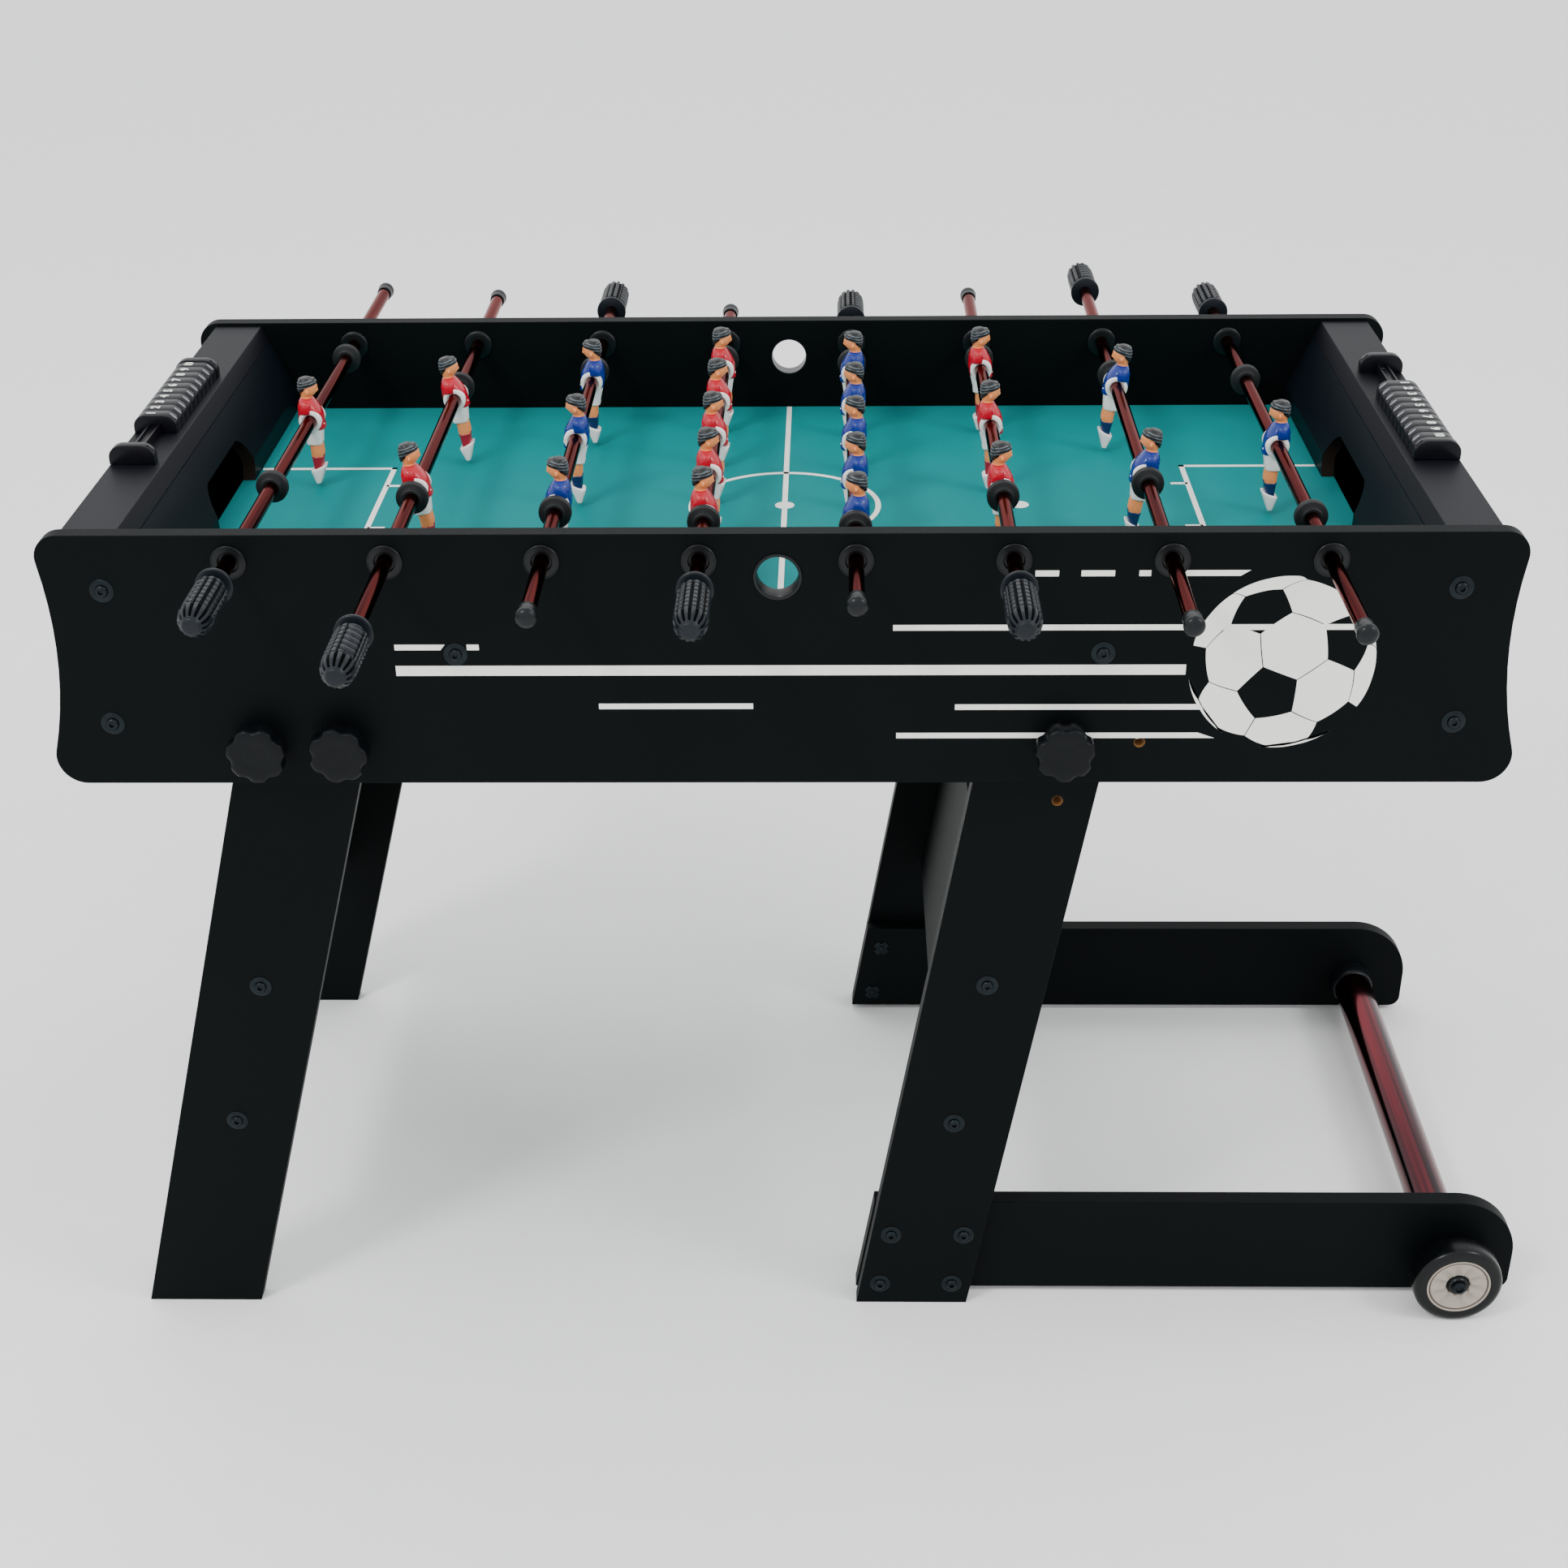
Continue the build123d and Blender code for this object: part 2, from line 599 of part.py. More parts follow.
with BuildPart() as scorer_rails:
    for side in SIDES:
        for end in (SCORER_LENGTH / 2, -SCORER_LENGTH / 2 + SCORER_BRACKET_T):
            extrude(counter_section(on_top_board(side, end), 0.0), amount=SCORER_BRACKET_T)
        with BuildSketch(on_top_board(side, SCORER_LENGTH / 2)):
            with Locations((0, BAR_HEIGHT / 2)):
                Rectangle(BAR_WIDTH, BAR_HEIGHT)
        extrude(amount=SCORER_LENGTH)
save(scorer_rails, "scorer_rails")


def score_beads(side):
    """Ten counter beads on the bar: pushed to the back block on the left and the front one on the right."""
    with BuildPart() as beads:
        start = SCORER_LENGTH / 2 - SCORER_BRACKET_T - BEAD_GAP
        if side > 0:
            start = -SCORER_LENGTH / 2 + SCORER_BRACKET_T + BEAD_COUNT * BEAD_LENGTH
        for index in range(BEAD_COUNT):
            section = counter_section(on_top_board(side, start - index * BEAD_LENGTH), BEAD_INSET)
            extrude(section, amount=BEAD_LENGTH - BEAD_GAP)
    return beads


for name, side in (("score_beads_left", -1), ("score_beads_right", 1)):
    save(score_beads(side), name)


# ================================================================ rods
def rod_shaft(number):
    """Hollow steel rod from inside the handle to inside the end cap."""
    count = PLAYERS_ON_ROD[number - 1]
    side = handle_side(number)
    middle = ROD_SHIFT[number - 1]
    start = middle + side * (collar_offset(count) + ROD_INTO_GRIP)
    length = collar_offset(count) + ROD_INTO_GRIP + cap_offset(count) - CAP_LENGTH / 4
    with BuildPart() as shaft:
        turned(((0, ROD_BORE_R), (0, ROD_R), (-length, ROD_R), (-length, ROD_BORE_R)),
               rod_x(number), start, ROD_Z, side)
    return shaft


def rod_bumpers(number):
    """The pair of rubber bumpers with their hubs, outside the outermost players."""
    count = PLAYERS_ON_ROD[number - 1]
    bore = ROD_R + SEAT
    near = (BUMPER_LENGTH - BUMPER_T) / 2
    far = near + BUMPER_T
    with BuildPart() as bumpers:
        for side in SIDES:
            face = ROD_SHIFT[number - 1] + side * (BUMPER_SPACING[count] / 2 - BUMPER_LENGTH / 2)
            turned(
                (
                    (0, bore),
                    (0, BUMPER_HUB_R),
                    (near, BUMPER_HUB_R),
                    (near, BUMPER_R - 1),
                    (near + 1, BUMPER_R),
                    (far - 1, BUMPER_R),
                    (far, BUMPER_R - 1),
                    (far, BUMPER_HUB_R),
                    (BUMPER_LENGTH, BUMPER_HUB_R),
                    (BUMPER_LENGTH, bore),
                ),
                rod_x(number), face, ROD_Z, side,
            )
    return bumpers


def rod_handle(number):
    """The moulded grip pushed on one end of the rod, and the cap on its other end."""
    count = PLAYERS_ON_ROD[number - 1]
    side = handle_side(number)
    middle = ROD_SHIFT[number - 1]
    bore = ROD_R + SEAT
    with BuildPart() as handle:
        turned(
            (
                (0, bore),
                (0, GRIP_COLLAR_R),
                (GRIP_COLLAR_T, GRIP_COLLAR_R),
                (GRIP_COLLAR_T, GRIP_NECK_R),
                (GRIP_COLLAR_T * 2, GRIP_NECK_R),
                (GRIP_COLLAR_T * 4, GRIP_R),
                (GRIP_LENGTH - GRIP_R * 0.8, GRIP_R),
                (GRIP_LENGTH - GRIP_R * 0.2, GRIP_R * 0.85),
                (GRIP_LENGTH, GRIP_R * 0.6),
                (GRIP_LENGTH, 0),
                (ROD_INTO_GRIP + STOP, 0),
                (ROD_INTO_GRIP + STOP, bore),
            ),
            rod_x(number), middle + side * collar_offset(count), ROD_Z, side,
        )
        turned(
            (
                (0, 0),
                (0, CAP_R * 0.75),
                (-CAP_LENGTH * 0.15, CAP_R),
                (-CAP_LENGTH * 0.45, CAP_R),
                (-CAP_LENGTH * 0.6, CAP_R * 0.88),
                (-CAP_LENGTH, CAP_R * 0.88),
                (-CAP_LENGTH, bore),
                (-CAP_LENGTH / 4 + SEAT, bore),
                (-CAP_LENGTH / 4 + SEAT, 0),
            ),
            rod_x(number), middle - side * cap_offset(count), ROD_Z, -side,
        )
    return handle


def player_plane(number, offset):
    """Side-view plane of one player: u is the way they face, v is up, the origin is on the rod."""
    face = 1 if TEAM_OF_ROD[number - 1] == "red" else -1
    kick = radians(ROD_KICK[number - 1])
    return Plane(
        origin=(rod_x(number), ROD_SHIFT[number - 1] + offset, ROD_Z),
        x_dir=(face * cos(kick), 0, sin(kick)),
        z_dir=(0, -face, 0),
    )


def slab(plane, half_width, *points):
    """A flat block of the player's figure, as wide as twice half_width along the rod."""
    with BuildSketch(plane) as profile:
        with BuildLine():
            Polyline(*points, close=True)
        make_face()
    extrude(profile.sketch, amount=half_width, both=True)


def rod_players(number):
    """The players on one rod, each a figure with a hole through its hips for the rod."""
    count = PLAYERS_ON_ROD[number - 1]
    with BuildPart() as players:
        for index in range(count):
            offset = (index - (count - 1) / 2) * PLAYER_SPACING[count]
            plane = player_plane(number, offset)
            slab(plane, HEAD_HALF_WIDTH, (-7, 17), (4, 17), (8, 27), (7, 36), (1, HEAD_TOP),
                 (-6, HEAD_TOP - 1), (-10, 32), (-9, 24))
            slab(plane, CHEST_HALF_WIDTH, (-8, 19), (6, 18), (11, 9), (11.5, -6), (-11, -8), (-12.5, 8))
            slab(plane, HIP_HALF_WIDTH, (-11, -5), (11.5, -5), (9, -22), (-6, -22))
            slab(plane, LEG_HALF_WIDTH, (-5.5, -20), (8, -20), (6.5, -48), (-4, -50))
            slab(plane, SHOE_HALF_WIDTH, (-5, -46), (9.5, -43), (9, -52), (3, -FOOT_REACH),
                 (-2, -FOOT_REACH), (-6.5, -51))
            with BuildSketch(plane):
                Circle(ROD_R + SEAT)
            extrude(amount=CHEST_HALF_WIDTH, both=True, mode=Mode.SUBTRACT)
    return players


for number in ROD_NUMBERS:
    save(rod_shaft(number), f"rod_{number}_shaft")
    save(rod_bumpers(number), f"rod_{number}_bumpers")
    save(rod_handle(number), f"rod_{number}_handle")
    save(rod_players(number), f"rod_{number}_players")


# ================================================================ legs
def leg_boards(foot_x, lean, top_r, holes):
    """A pair of leaning leg boards against the insides of the side panels."""
    with BuildPart() as legs:
        for low_y in (-LEG_OUT, LEG_IN):
            with BuildSketch(facing(low_y + LEG_T)) as outline:
                with BuildLine():
                    Polyline(
                        (leg_edge_x(foot_x, lean, 0, -1), 0),
                        (leg_edge_x(foot_x, lean, LEG_TOP_Z, -1), LEG_TOP_Z),
                        (leg_edge_x(foot_x, lean, LEG_TOP_Z, 1), LEG_TOP_Z),
                        (leg_edge_x(foot_x, lean, 0, 1), 0),
                        close=True,
                    )
                make_face()
                fillet(outline.vertices().group_by(Axis.Y)[-1].sort_by(Axis.X)[0], radius=LEG_TOP_R)
                fillet(outline.vertices().group_by(Axis.Y)[-1].sort_by(Axis.X)[-1], radius=top_r)
            extrude(amount=LEG_T)
        fillet(legs.edges().filter_by(Plane.XZ), radius=EDGE_R)
        with BuildSketch(facing(LEG_OUT)):
            for x, z, radius in holes:
                with Locations((x, z)):
                    Circle(radius)
        extrude(amount=2 * LEG_OUT, mode=Mode.SUBTRACT)
    return legs


def holes_for_bolts(places):
    """Bolt holes at these places."""
    return [(x, z, BOLT_R + BOLT_CLEAR) for x, z in places]


def cross_panel(foot_x, lean):
    """The board between a pair of legs, leaning with them and bolted through its ends."""
    middle_x = leg_axis_x(foot_x, lean, CROSS_PANEL_Z)
    along = Plane(origin=(middle_x, LEG_IN, CROSS_PANEL_Z),
                  x_dir=(cos(radians(lean)), 0, -sin(radians(lean))), z_dir=(0, -1, 0))
    with BuildPart() as panel:
        with BuildSketch(along):
            Rectangle(CROSS_PANEL_T, CROSS_PANEL_HEIGHT)
        extrude(amount=2 * LEG_IN)
        fillet(panel.edges().filter_by(Axis.Y), radius=EDGE_R)
        for side in SIDES:
            with BuildSketch(facing(side * LEG_IN)):
                with Locations(*cross_bolts(foot_x, lean)):
                    Circle(BOLT_R + SEAT)
            extrude(amount=side * (BOLT_BITE + BOLT_R), mode=Mode.SUBTRACT)
    return panel


def pivot_nut(x, side):
    """Flanged nut let into a leg's inner face, round the pivot knob's stem."""
    turned(((0, STEM_R + RUNNING), (NUT_FLANGE_T, STEM_R + RUNNING), (NUT_FLANGE_T, NUT_FLANGE_R), (0, NUT_FLANGE_R)),
           x, side * LEG_IN, PIVOT_Z, -side)


pivot_hole = STEM_R + RUNNING
left_holes = holes_for_bolts(cross_bolts(LEFT_FOOT_X, LEFT_LEAN))
left_holes += [(LEFT_PIVOT_X, PIVOT_Z, pivot_hole), (LEFT_LOCK_X, PIVOT_Z, FOLD_HOLE_R)]
save(leg_boards(LEFT_FOOT_X, LEFT_LEAN, LEFT_TOP_R, left_holes), "left_legs")
save(cross_panel(LEFT_FOOT_X, LEFT_LEAN), "left_cross_panel")

with BuildPart() as left_leg_bolts:
    for side in SIDES:
        for x, z in cross_bolts(LEFT_FOOT_X, LEFT_LEAN):
            bolt(x, z, side * LEG_OUT, side, LEG_T + BOLT_BITE)
        pivot_nut(LEFT_PIVOT_X, side)
save(left_leg_bolts, "left_leg_bolts")

right_holes = holes_for_bolts(cross_bolts(RIGHT_FOOT_X, RIGHT_LEAN) + foot_bolts())
right_holes += [(RIGHT_PIVOT_X, PIVOT_Z, pivot_hole), (*FOLD_HOLE_LEG, FOLD_HOLE_R)]
save(leg_boards(RIGHT_FOOT_X, RIGHT_LEAN, LEG_TOP_R, right_holes), "right_legs")
save(cross_panel(RIGHT_FOOT_X, RIGHT_LEAN), "right_cross_panel")

with BuildPart() as foot_beams:
    for low_y in (-LEG_IN, BEAM_IN):
        with BuildSketch(facing(low_y + BEAM_T)) as outline:
            with BuildLine():
                Polyline(
                    (leg_edge_x(RIGHT_FOOT_X, RIGHT_LEAN, BEAM_BOTTOM_Z, -1) - BEAM_PROUD, BEAM_BOTTOM_Z),
                    (leg_edge_x(RIGHT_FOOT_X, RIGHT_LEAN, BEAM_TOP_Z, -1) - BEAM_PROUD, BEAM_TOP_Z),
                    (BEAM_END_X, BEAM_TOP_Z),
                    (BEAM_END_X, BEAM_BOTTOM_Z),
                    close=True,
                )
            make_face()
            fillet(outline.vertices().group_by(Axis.X)[-1].sort_by(Axis.Y)[0], radius=BEAM_BOTTOM_R)
            fillet(outline.vertices().group_by(Axis.Y)[-1].sort_by(Axis.X)[-1], radius=BEAM_TOP_R)
        extrude(amount=BEAM_T)
    fillet(foot_beams.edges().filter_by(Plane.XZ), radius=EDGE_R)
    with BuildSketch(facing(LEG_IN)):
        with Locations(*foot_bolts()):
            Circle(BOLT_R + BOLT_CLEAR)
        with Locations((WHEEL_X, WHEEL_Z)):
            Circle(AXLE_R + SEAT)
    extrude(amount=2 * LEG_IN, mode=Mode.SUBTRACT)
save(foot_beams, "foot_beams")

with BuildPart() as foot_tube:
    tube_end = BEAM_IN - CUP_FLOOR
    inner = TUBE_R - TUBE_WALL
    turned(((tube_end, inner), (tube_end, TUBE_R), (-tube_end, TUBE_R), (-tube_end, inner)), WHEEL_X, 0, WHEEL_Z, 1)
save(foot_tube, "foot_tube")

with BuildPart() as tube_end_cups:
    for side in SIDES:
        turned(
            (
                (0, AXLE_R + SEAT),
                (0, CUP_R),
                (CUP_LENGTH * 0.7, CUP_R),
                (CUP_LENGTH, TUBE_R + 1),
                (CUP_LENGTH, TUBE_R + SEAT),
                (CUP_FLOOR - SEAT, TUBE_R + SEAT),
                (CUP_FLOOR - SEAT, AXLE_R + SEAT),
            ),
            WHEEL_X, side * BEAM_IN, WHEEL_Z, -side,
        )
save(tube_end_cups, "tube_end_cups")

with BuildPart() as right_leg_bolts:
    for side in SIDES:
        for x, z in cross_bolts(RIGHT_FOOT_X, RIGHT_LEAN):
            bolt(x, z, side * LEG_OUT, side, LEG_T + BOLT_BITE)
        for x, z in foot_bolts():
            bolt(x, z, side * LEG_OUT, side, LEG_T + BEAM_T + NUT_FLANGE_T)
            turned(((0, BOLT_R + SEAT), (NUT_FLANGE_T, BOLT_R + SEAT), (NUT_FLANGE_T, NUT_FLANGE_R),
                    (0, NUT_FLANGE_R)), x, side * BEAM_IN, z, -side)
        pivot_nut(RIGHT_PIVOT_X, side)
        head = WHEEL_OUT + SEAT
        tail = BEAM_IN - AXLE_GRIP
        turned(((head, 0), (head + AXLE_HEAD_T, 0), (head + AXLE_HEAD_T, AXLE_HEAD_R * 0.8), (head, AXLE_HEAD_R),
                (head, AXLE_R), (tail, AXLE_R), (tail, 0)), WHEEL_X, 0, WHEEL_Z, side)
save(right_leg_bolts, "right_leg_bolts")


def wheel(side):
    """A transport wheel: a tyre on a dished hub whose boss runs on the axle bolt."""
    inner = LEG_IN + WHEEL_STANDOFF
    rim = WHEEL_R - TYRE_DEPTH
    bore = AXLE_R + RUNNING
    with BuildPart() as roller:
        turned(
            (
                (inner, rim + SEAT),
                (inner, WHEEL_R - 4),
                (inner + 4, WHEEL_R),
                (WHEEL_OUT - 4, WHEEL_R),
                (WHEEL_OUT, WHEEL_R - 4),
                (WHEEL_OUT, rim + SEAT),
            ),
            WHEEL_X, 0, WHEEL_Z, side,
        )
        turned(
            (
                (LEG_IN + GLIDE, bore),
                (LEG_IN + GLIDE, HUB_BOSS_R),
                (inner + 4, HUB_BOSS_R),
                (inner + 4, rim - 4),
                (inner, rim - 4),
                (inner, rim),
                (WHEEL_OUT, rim),
                (WHEEL_OUT, rim - 4),
                (WHEEL_OUT - 3, rim - 6),
                (WHEEL_OUT - 3, HUB_BOSS_R),
                (WHEEL_OUT, HUB_BOSS_R - 2),
                (WHEEL_OUT, bore),
            ),
            WHEEL_X, 0, WHEEL_Z, side,
        )
    return roller


for name, side in (("wheel_front", -1), ("wheel_back", 1)):
    save(wheel(side), name)


# ================================================================ knobs
def knob_pair(x, stem_in):
    """The front and back knobs on one line, with stems that reach stem_in from the panel's inner face."""
    with BuildPart() as knobs:
        for side in SIDES:
            back_face = HALF_WIDTH + KNOB_PROUD - KNOB_T
            with BuildSketch(facing(side * back_face)) as star:
                with Locations((x, PIVOT_Z)):
                    Circle(KNOB_R)
                    with PolarLocations(KNOB_SCALLOP_REACH, KNOB_LOBES, start_angle=90):
                        Circle(KNOB_SCALLOP_R, mode=Mode.SUBTRACT)
                fillet(star.vertices(), radius=2)
            extrude(amount=-side * KNOB_T)
            turned(
                (
                    (HALF_WIDTH + GLIDE, STEM_R),
                    (HALF_WIDTH + GLIDE, KNOB_NECK_R),
                    (back_face, KNOB_NECK_R),
                    (back_face, 0),
                    (INNER_HALF - stem_in, 0),
                    (INNER_HALF - stem_in, STEM_R),
                ),
                x, 0, PIVOT_Z, side,
            )
    return knobs


PIVOT_REACH = GLIDE + LEG_T + STEM_TAIL
for place, x in KNOB_PLACES.items():
    save(knob_pair(x, -STOP if place == "left_lock" else PIVOT_REACH), f"knobs_{place}")
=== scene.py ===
"""Finishes and fine detail of a folding foosball table.

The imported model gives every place. Each sub-assembly is a class that keeps its own sizes, works its surfaces
out as numpy grids in millimetres, and sets them on the body they move with.
"""
from __future__ import annotations

import json
import logging
import math
from collections.abc import Callable
from dataclasses import dataclass
from enum import Enum

import bpy
import numpy as np
from mathutils import Matrix, Vector


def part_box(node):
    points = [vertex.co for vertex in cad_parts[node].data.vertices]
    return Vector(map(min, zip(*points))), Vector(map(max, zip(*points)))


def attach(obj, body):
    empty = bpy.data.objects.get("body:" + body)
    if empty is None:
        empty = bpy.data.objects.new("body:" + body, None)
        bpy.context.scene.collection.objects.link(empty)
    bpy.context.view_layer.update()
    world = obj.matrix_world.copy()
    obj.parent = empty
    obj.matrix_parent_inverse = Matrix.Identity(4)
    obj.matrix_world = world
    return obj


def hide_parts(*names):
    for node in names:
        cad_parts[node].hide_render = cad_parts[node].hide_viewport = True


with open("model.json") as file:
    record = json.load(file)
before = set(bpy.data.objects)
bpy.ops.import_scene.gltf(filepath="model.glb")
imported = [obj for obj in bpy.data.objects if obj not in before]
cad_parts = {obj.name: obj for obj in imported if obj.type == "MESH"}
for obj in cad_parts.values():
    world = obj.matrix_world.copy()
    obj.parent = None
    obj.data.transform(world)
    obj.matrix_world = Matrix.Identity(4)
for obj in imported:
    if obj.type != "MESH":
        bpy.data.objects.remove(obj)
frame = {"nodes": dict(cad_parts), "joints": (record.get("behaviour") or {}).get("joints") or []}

LOG = logging.getLogger("foosball_table")
MM = 0.001
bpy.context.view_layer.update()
PIVOTS = {joint["name"]: joint["pos_m"] for joint in frame["joints"] if "pos_m" in joint}
# Front and back, or left and right, as signs.
SIDES = (-1, 1)


# ---------------------------------------------------------------- node and colour helpers
def linear(code: str) -> tuple[float, float, float, float]:
    """Turns an sRGB hex colour to linear.

    Args:
        code: The colour, such as "#15191b".

    Returns:
        Red, green, blue and an alpha of 1.
    """
    channels = [int(code[start:start + 2], 16) / 255 for start in (1, 3, 5)]
    red, green, blue = (c / 12.92 if c <= 0.04045 else ((c + 0.055) / 1.055) ** 2.4 for c in channels)
    return red, green, blue, 1.0


def add(tree: bpy.types.NodeTree, kind: str, inputs: dict | None = None, **settings: object) -> bpy.types.Node:
    """Adds a node with its settings, values and links.

    Args:
        tree: The node tree it goes in.
        kind: The node's type name.
        inputs: Input name or number to a value, or to the output socket that feeds it.
        settings: The node's own properties.

    Returns:
        The new node.
    """
    node = tree.nodes.new(kind)
    for name, value in settings.items():
        setattr(node, name, value)
    for key, value in (inputs or {}).items():
        if isinstance(value, bpy.types.NodeSocket):
            tree.links.new(value, node.inputs[key])
        else:
            node.inputs[key].default_value = value
    return node


def maths(tree: bpy.types.NodeTree, operation: str, *values: object, clamp: bool = False) -> bpy.types.NodeSocket:
    """The result of one Math node on these values."""
    node = add(tree, "ShaderNodeMath", dict(enumerate(values)), operation=operation, use_clamp=clamp)
    return node.outputs[0]


def blend(tree: bpy.types.NodeTree, share: object, first: object, second: object) -> bpy.types.NodeSocket:
    """A colour between first and second, by share."""
    node = add(tree, "ShaderNodeMix", {0: share, 6: first, 7: second}, data_type="RGBA")
    return node.outputs[2]


# ---------------------------------------------------------------- finishes
@dataclass(frozen=True)
class Finish:
    """One surface finish: its colours, gloss and grain, with the grain's real size.

    The colour wanders between colour and drift in soft patches, and roughness and bump follow the grain. edge
    tints what the surface reflects at a grazing angle.
    """

    name: str
    colour: str
    drift: str
    roughness: float
    metallic: float = 0.0
    ior: float = 1.5
    coat: float = 0.0
    coat_roughness: float = 0.08
    grain_mm: float = 1.0
    bump: float = 0.1
    bump_mm: float = 0.05
    patch_mm: float = 60.0
    gloss_wander: float = 0.06
    specular: float = 0.5
    edge: str = "#ffffff"

    def colour_socket(self, tree: bpy.types.NodeTree, place: bpy.types.NodeSocket) -> bpy.types.NodeSocket:
        """The base colour, wandering between the two tones in patches of patch_mm."""
        patches = add(tree, "ShaderNodeTexNoise", {"Vector": place, "Scale": 1 / (self.patch_mm * MM), "Detail": 3.0})
        return blend(tree, patches.outputs[0], linear(self.colour), linear(self.drift))

    def material(self) -> bpy.types.Material:
        """The material, made once for each finish."""
        ready = bpy.data.materials.get(self.name)
        if ready:
            return ready
        made = bpy.data.materials.new(self.name)
        made.use_nodes = True
        tree = made.node_tree
        tree.nodes.clear()
        place = add(tree, "ShaderNodeTexCoord").outputs["Object"]
        grain = add(tree, "ShaderNodeTexNoise", {"Vector": place, "Scale": 1 / (self.grain_mm * MM), "Detail": 4.0})
        rough = add(tree, "ShaderNodeMapRange", {"Value": grain.outputs[0], "From Min": 0.3, "From Max": 0.7,
                                                 "To Min": self.roughness - self.gloss_wander,
                                                 "To Max": self.roughness + self.gloss_wander})
        relief = add(tree, "ShaderNodeBump", {"Height": grain.outputs[0], "Strength": self.bump,
                                              "Distance": self.bump_mm * MM})
        shader = add(tree, "ShaderNodeBsdfPrincipled", {
            "Base Color": self.colour_socket(tree, place), "Metallic": self.metallic, "IOR": self.ior,
            "Roughness": rough.outputs[0], "Normal": relief.outputs[0], "Coat Weight": self.coat,
            "Coat Roughness": self.coat_roughness, "Specular IOR Level": self.specular,
            "Specular Tint": linear(self.edge)})
        add(tree, "ShaderNodeOutputMaterial", {"Surface": shader.outputs[0]})
        return made


@dataclass(frozen=True)
class ReflectionStreakTube(Finish):
    """Chromed drawn tube along Y: faint streaks of painted reflection run lengthwise, each about patch_mm wide."""

    stretch: float = 0.012

    def colour_socket(self, tree: bpy.types.NodeTree, place: bpy.types.NodeSocket) -> bpy.types.NodeSocket:
        """The two tones in noise squeezed along the tube, its patches drawn out into streaks of painted reflection."""
        drawn = add(tree, "ShaderNodeMapping", {0: place, "Scale": (1.0, self.stretch, 1.0)})
        streaks = add(tree, "ShaderNodeTexNoise", {"Vector": drawn.outputs[0], "Scale": 1 / (self.patch_mm * MM),
                                                   "Detail": 3.0})
        share = add(tree, "ShaderNodeMapRange", {"Value": streaks.outputs[0], "From Min": 0.38, "From Max": 0.62})
        return blend(tree, share.outputs[0], linear(self.colour), linear(self.drift))


@dataclass(frozen=True)
class CutBoard(Finish):
    """Melamine-faced MDF that shows its raw brown core inside the drilled holes near these lines along Y."""

    raw: str = "#8a6238"
    holes: tuple[tuple[float, float], ...] = ()
    hole_r_mm: float = 4.72

    def colour_socket(self, tree: bpy.types.NodeTree, place: bpy.types.NodeSocket) -> bpy.types.NodeSocket:
        """The board's colour, and the core's within a hole's radius of its centre line."""
        surface = super().colour_socket(tree, place)
        parts = add(tree, "ShaderNodeSeparateXYZ", {0: place})
        inside = 0.0
        for x, z in self.holes:
            across = maths(tree, "POWER", maths(tree, "SUBTRACT", parts.outputs[0], x), 2.0)
            upward = maths(tree, "POWER", maths(tree, "SUBTRACT", parts.outputs[2], z), 2.0)
            near = maths(tree, "LESS_THAN", maths(tree, "ADD", across, upward), (self.hole_r_mm * MM) ** 2)
            inside = maths(tree, "MAXIMUM", inside, near)
        return blend(tree, inside, surface, linear(self.raw))


@dataclass(frozen=True)
class GoalBoard(Finish):
    """Melamine-faced MDF whose sawn goal mouth, facing across the table or down, shows its raw brown core."""

    raw: str = "#5a4128"
    mouth_half_m: float = 0.0
    middle_y_m: float = 0.0
    mouth_top_m: float = 0.0

    def colour_socket(self, tree: bpy.types.NodeTree, place: bpy.types.NodeSocket) -> bpy.types.NodeSocket:
        """The board's colour, and the core's on faces inside the mouth that turn towards it."""
        surface = super().colour_socket(tree, place)
        parts = add(tree, "ShaderNodeSeparateXYZ", {0: place})
        facing = add(tree, "ShaderNodeSeparateXYZ", {0: add(tree, "ShaderNodeTexCoord").outputs["Normal"]})
        offset = maths(tree, "ABSOLUTE", maths(tree, "SUBTRACT", parts.outputs[1], self.middle_y_m))
        inside = maths(tree, "MULTIPLY", maths(tree, "LESS_THAN", offset, self.mouth_half_m),
                       maths(tree, "LESS_THAN", parts.outputs[2], self.mouth_top_m))
        sideways = maths(tree, "GREATER_THAN", maths(tree, "ABSOLUTE", facing.outputs[0]), 0.5)
        sawn = maths(tree, "MULTIPLY", inside, maths(tree, "SUBTRACT", 1.0, sideways))
        return blend(tree, sawn, surface, linear(self.raw))


# Satin black melamine paper pressed on MDF: almost flat, with a fine pebble that spreads its sheen.
BLACK_PAPER: dict[str, str | float] = {
    "colour": "#030607", "drift": "#060a0b", "roughness": 0.52, "ior": 1.3, "specular": 0.13, "grain_mm": 0.9,
    "bump": 0.12, "patch_mm": 180}
MELAMINE = Finish("black_melamine", **BLACK_PAPER)
# The top boards take the light from above, so their paper reads a little warmer and greyer.
TOP_MELAMINE = Finish("top_board_melamine", "#07090f", "#0c0b12", 0.5, ior=1.33, specular=0.22, grain_mm=0.9,
                      bump=0.16, patch_mm=90)
# MDF left bare on hidden supports: a felted brown fibre.
RAW_MDF = Finish("raw_mdf", "#8d6a45", "#9b7850", 0.85, grain_mm=1.6, bump=0.4, patch_mm=25)
# Printed teal playing field: lacquered paper on board, soft satin with faint clouding from the press.
FIELD = Finish("teal_field", "#047071", "#067778", 0.5, ior=1.3, specular=0.08, grain_mm=1.2, bump=0.05,
               patch_mm=140)
# White screen ink of the lines, the side print and the beads' numbers: flat and a little warm.
INK = Finish("white_ink", "#e4e6e0", "#dcded8", 0.5, grain_mm=0.8, bump=0.08, patch_mm=30)
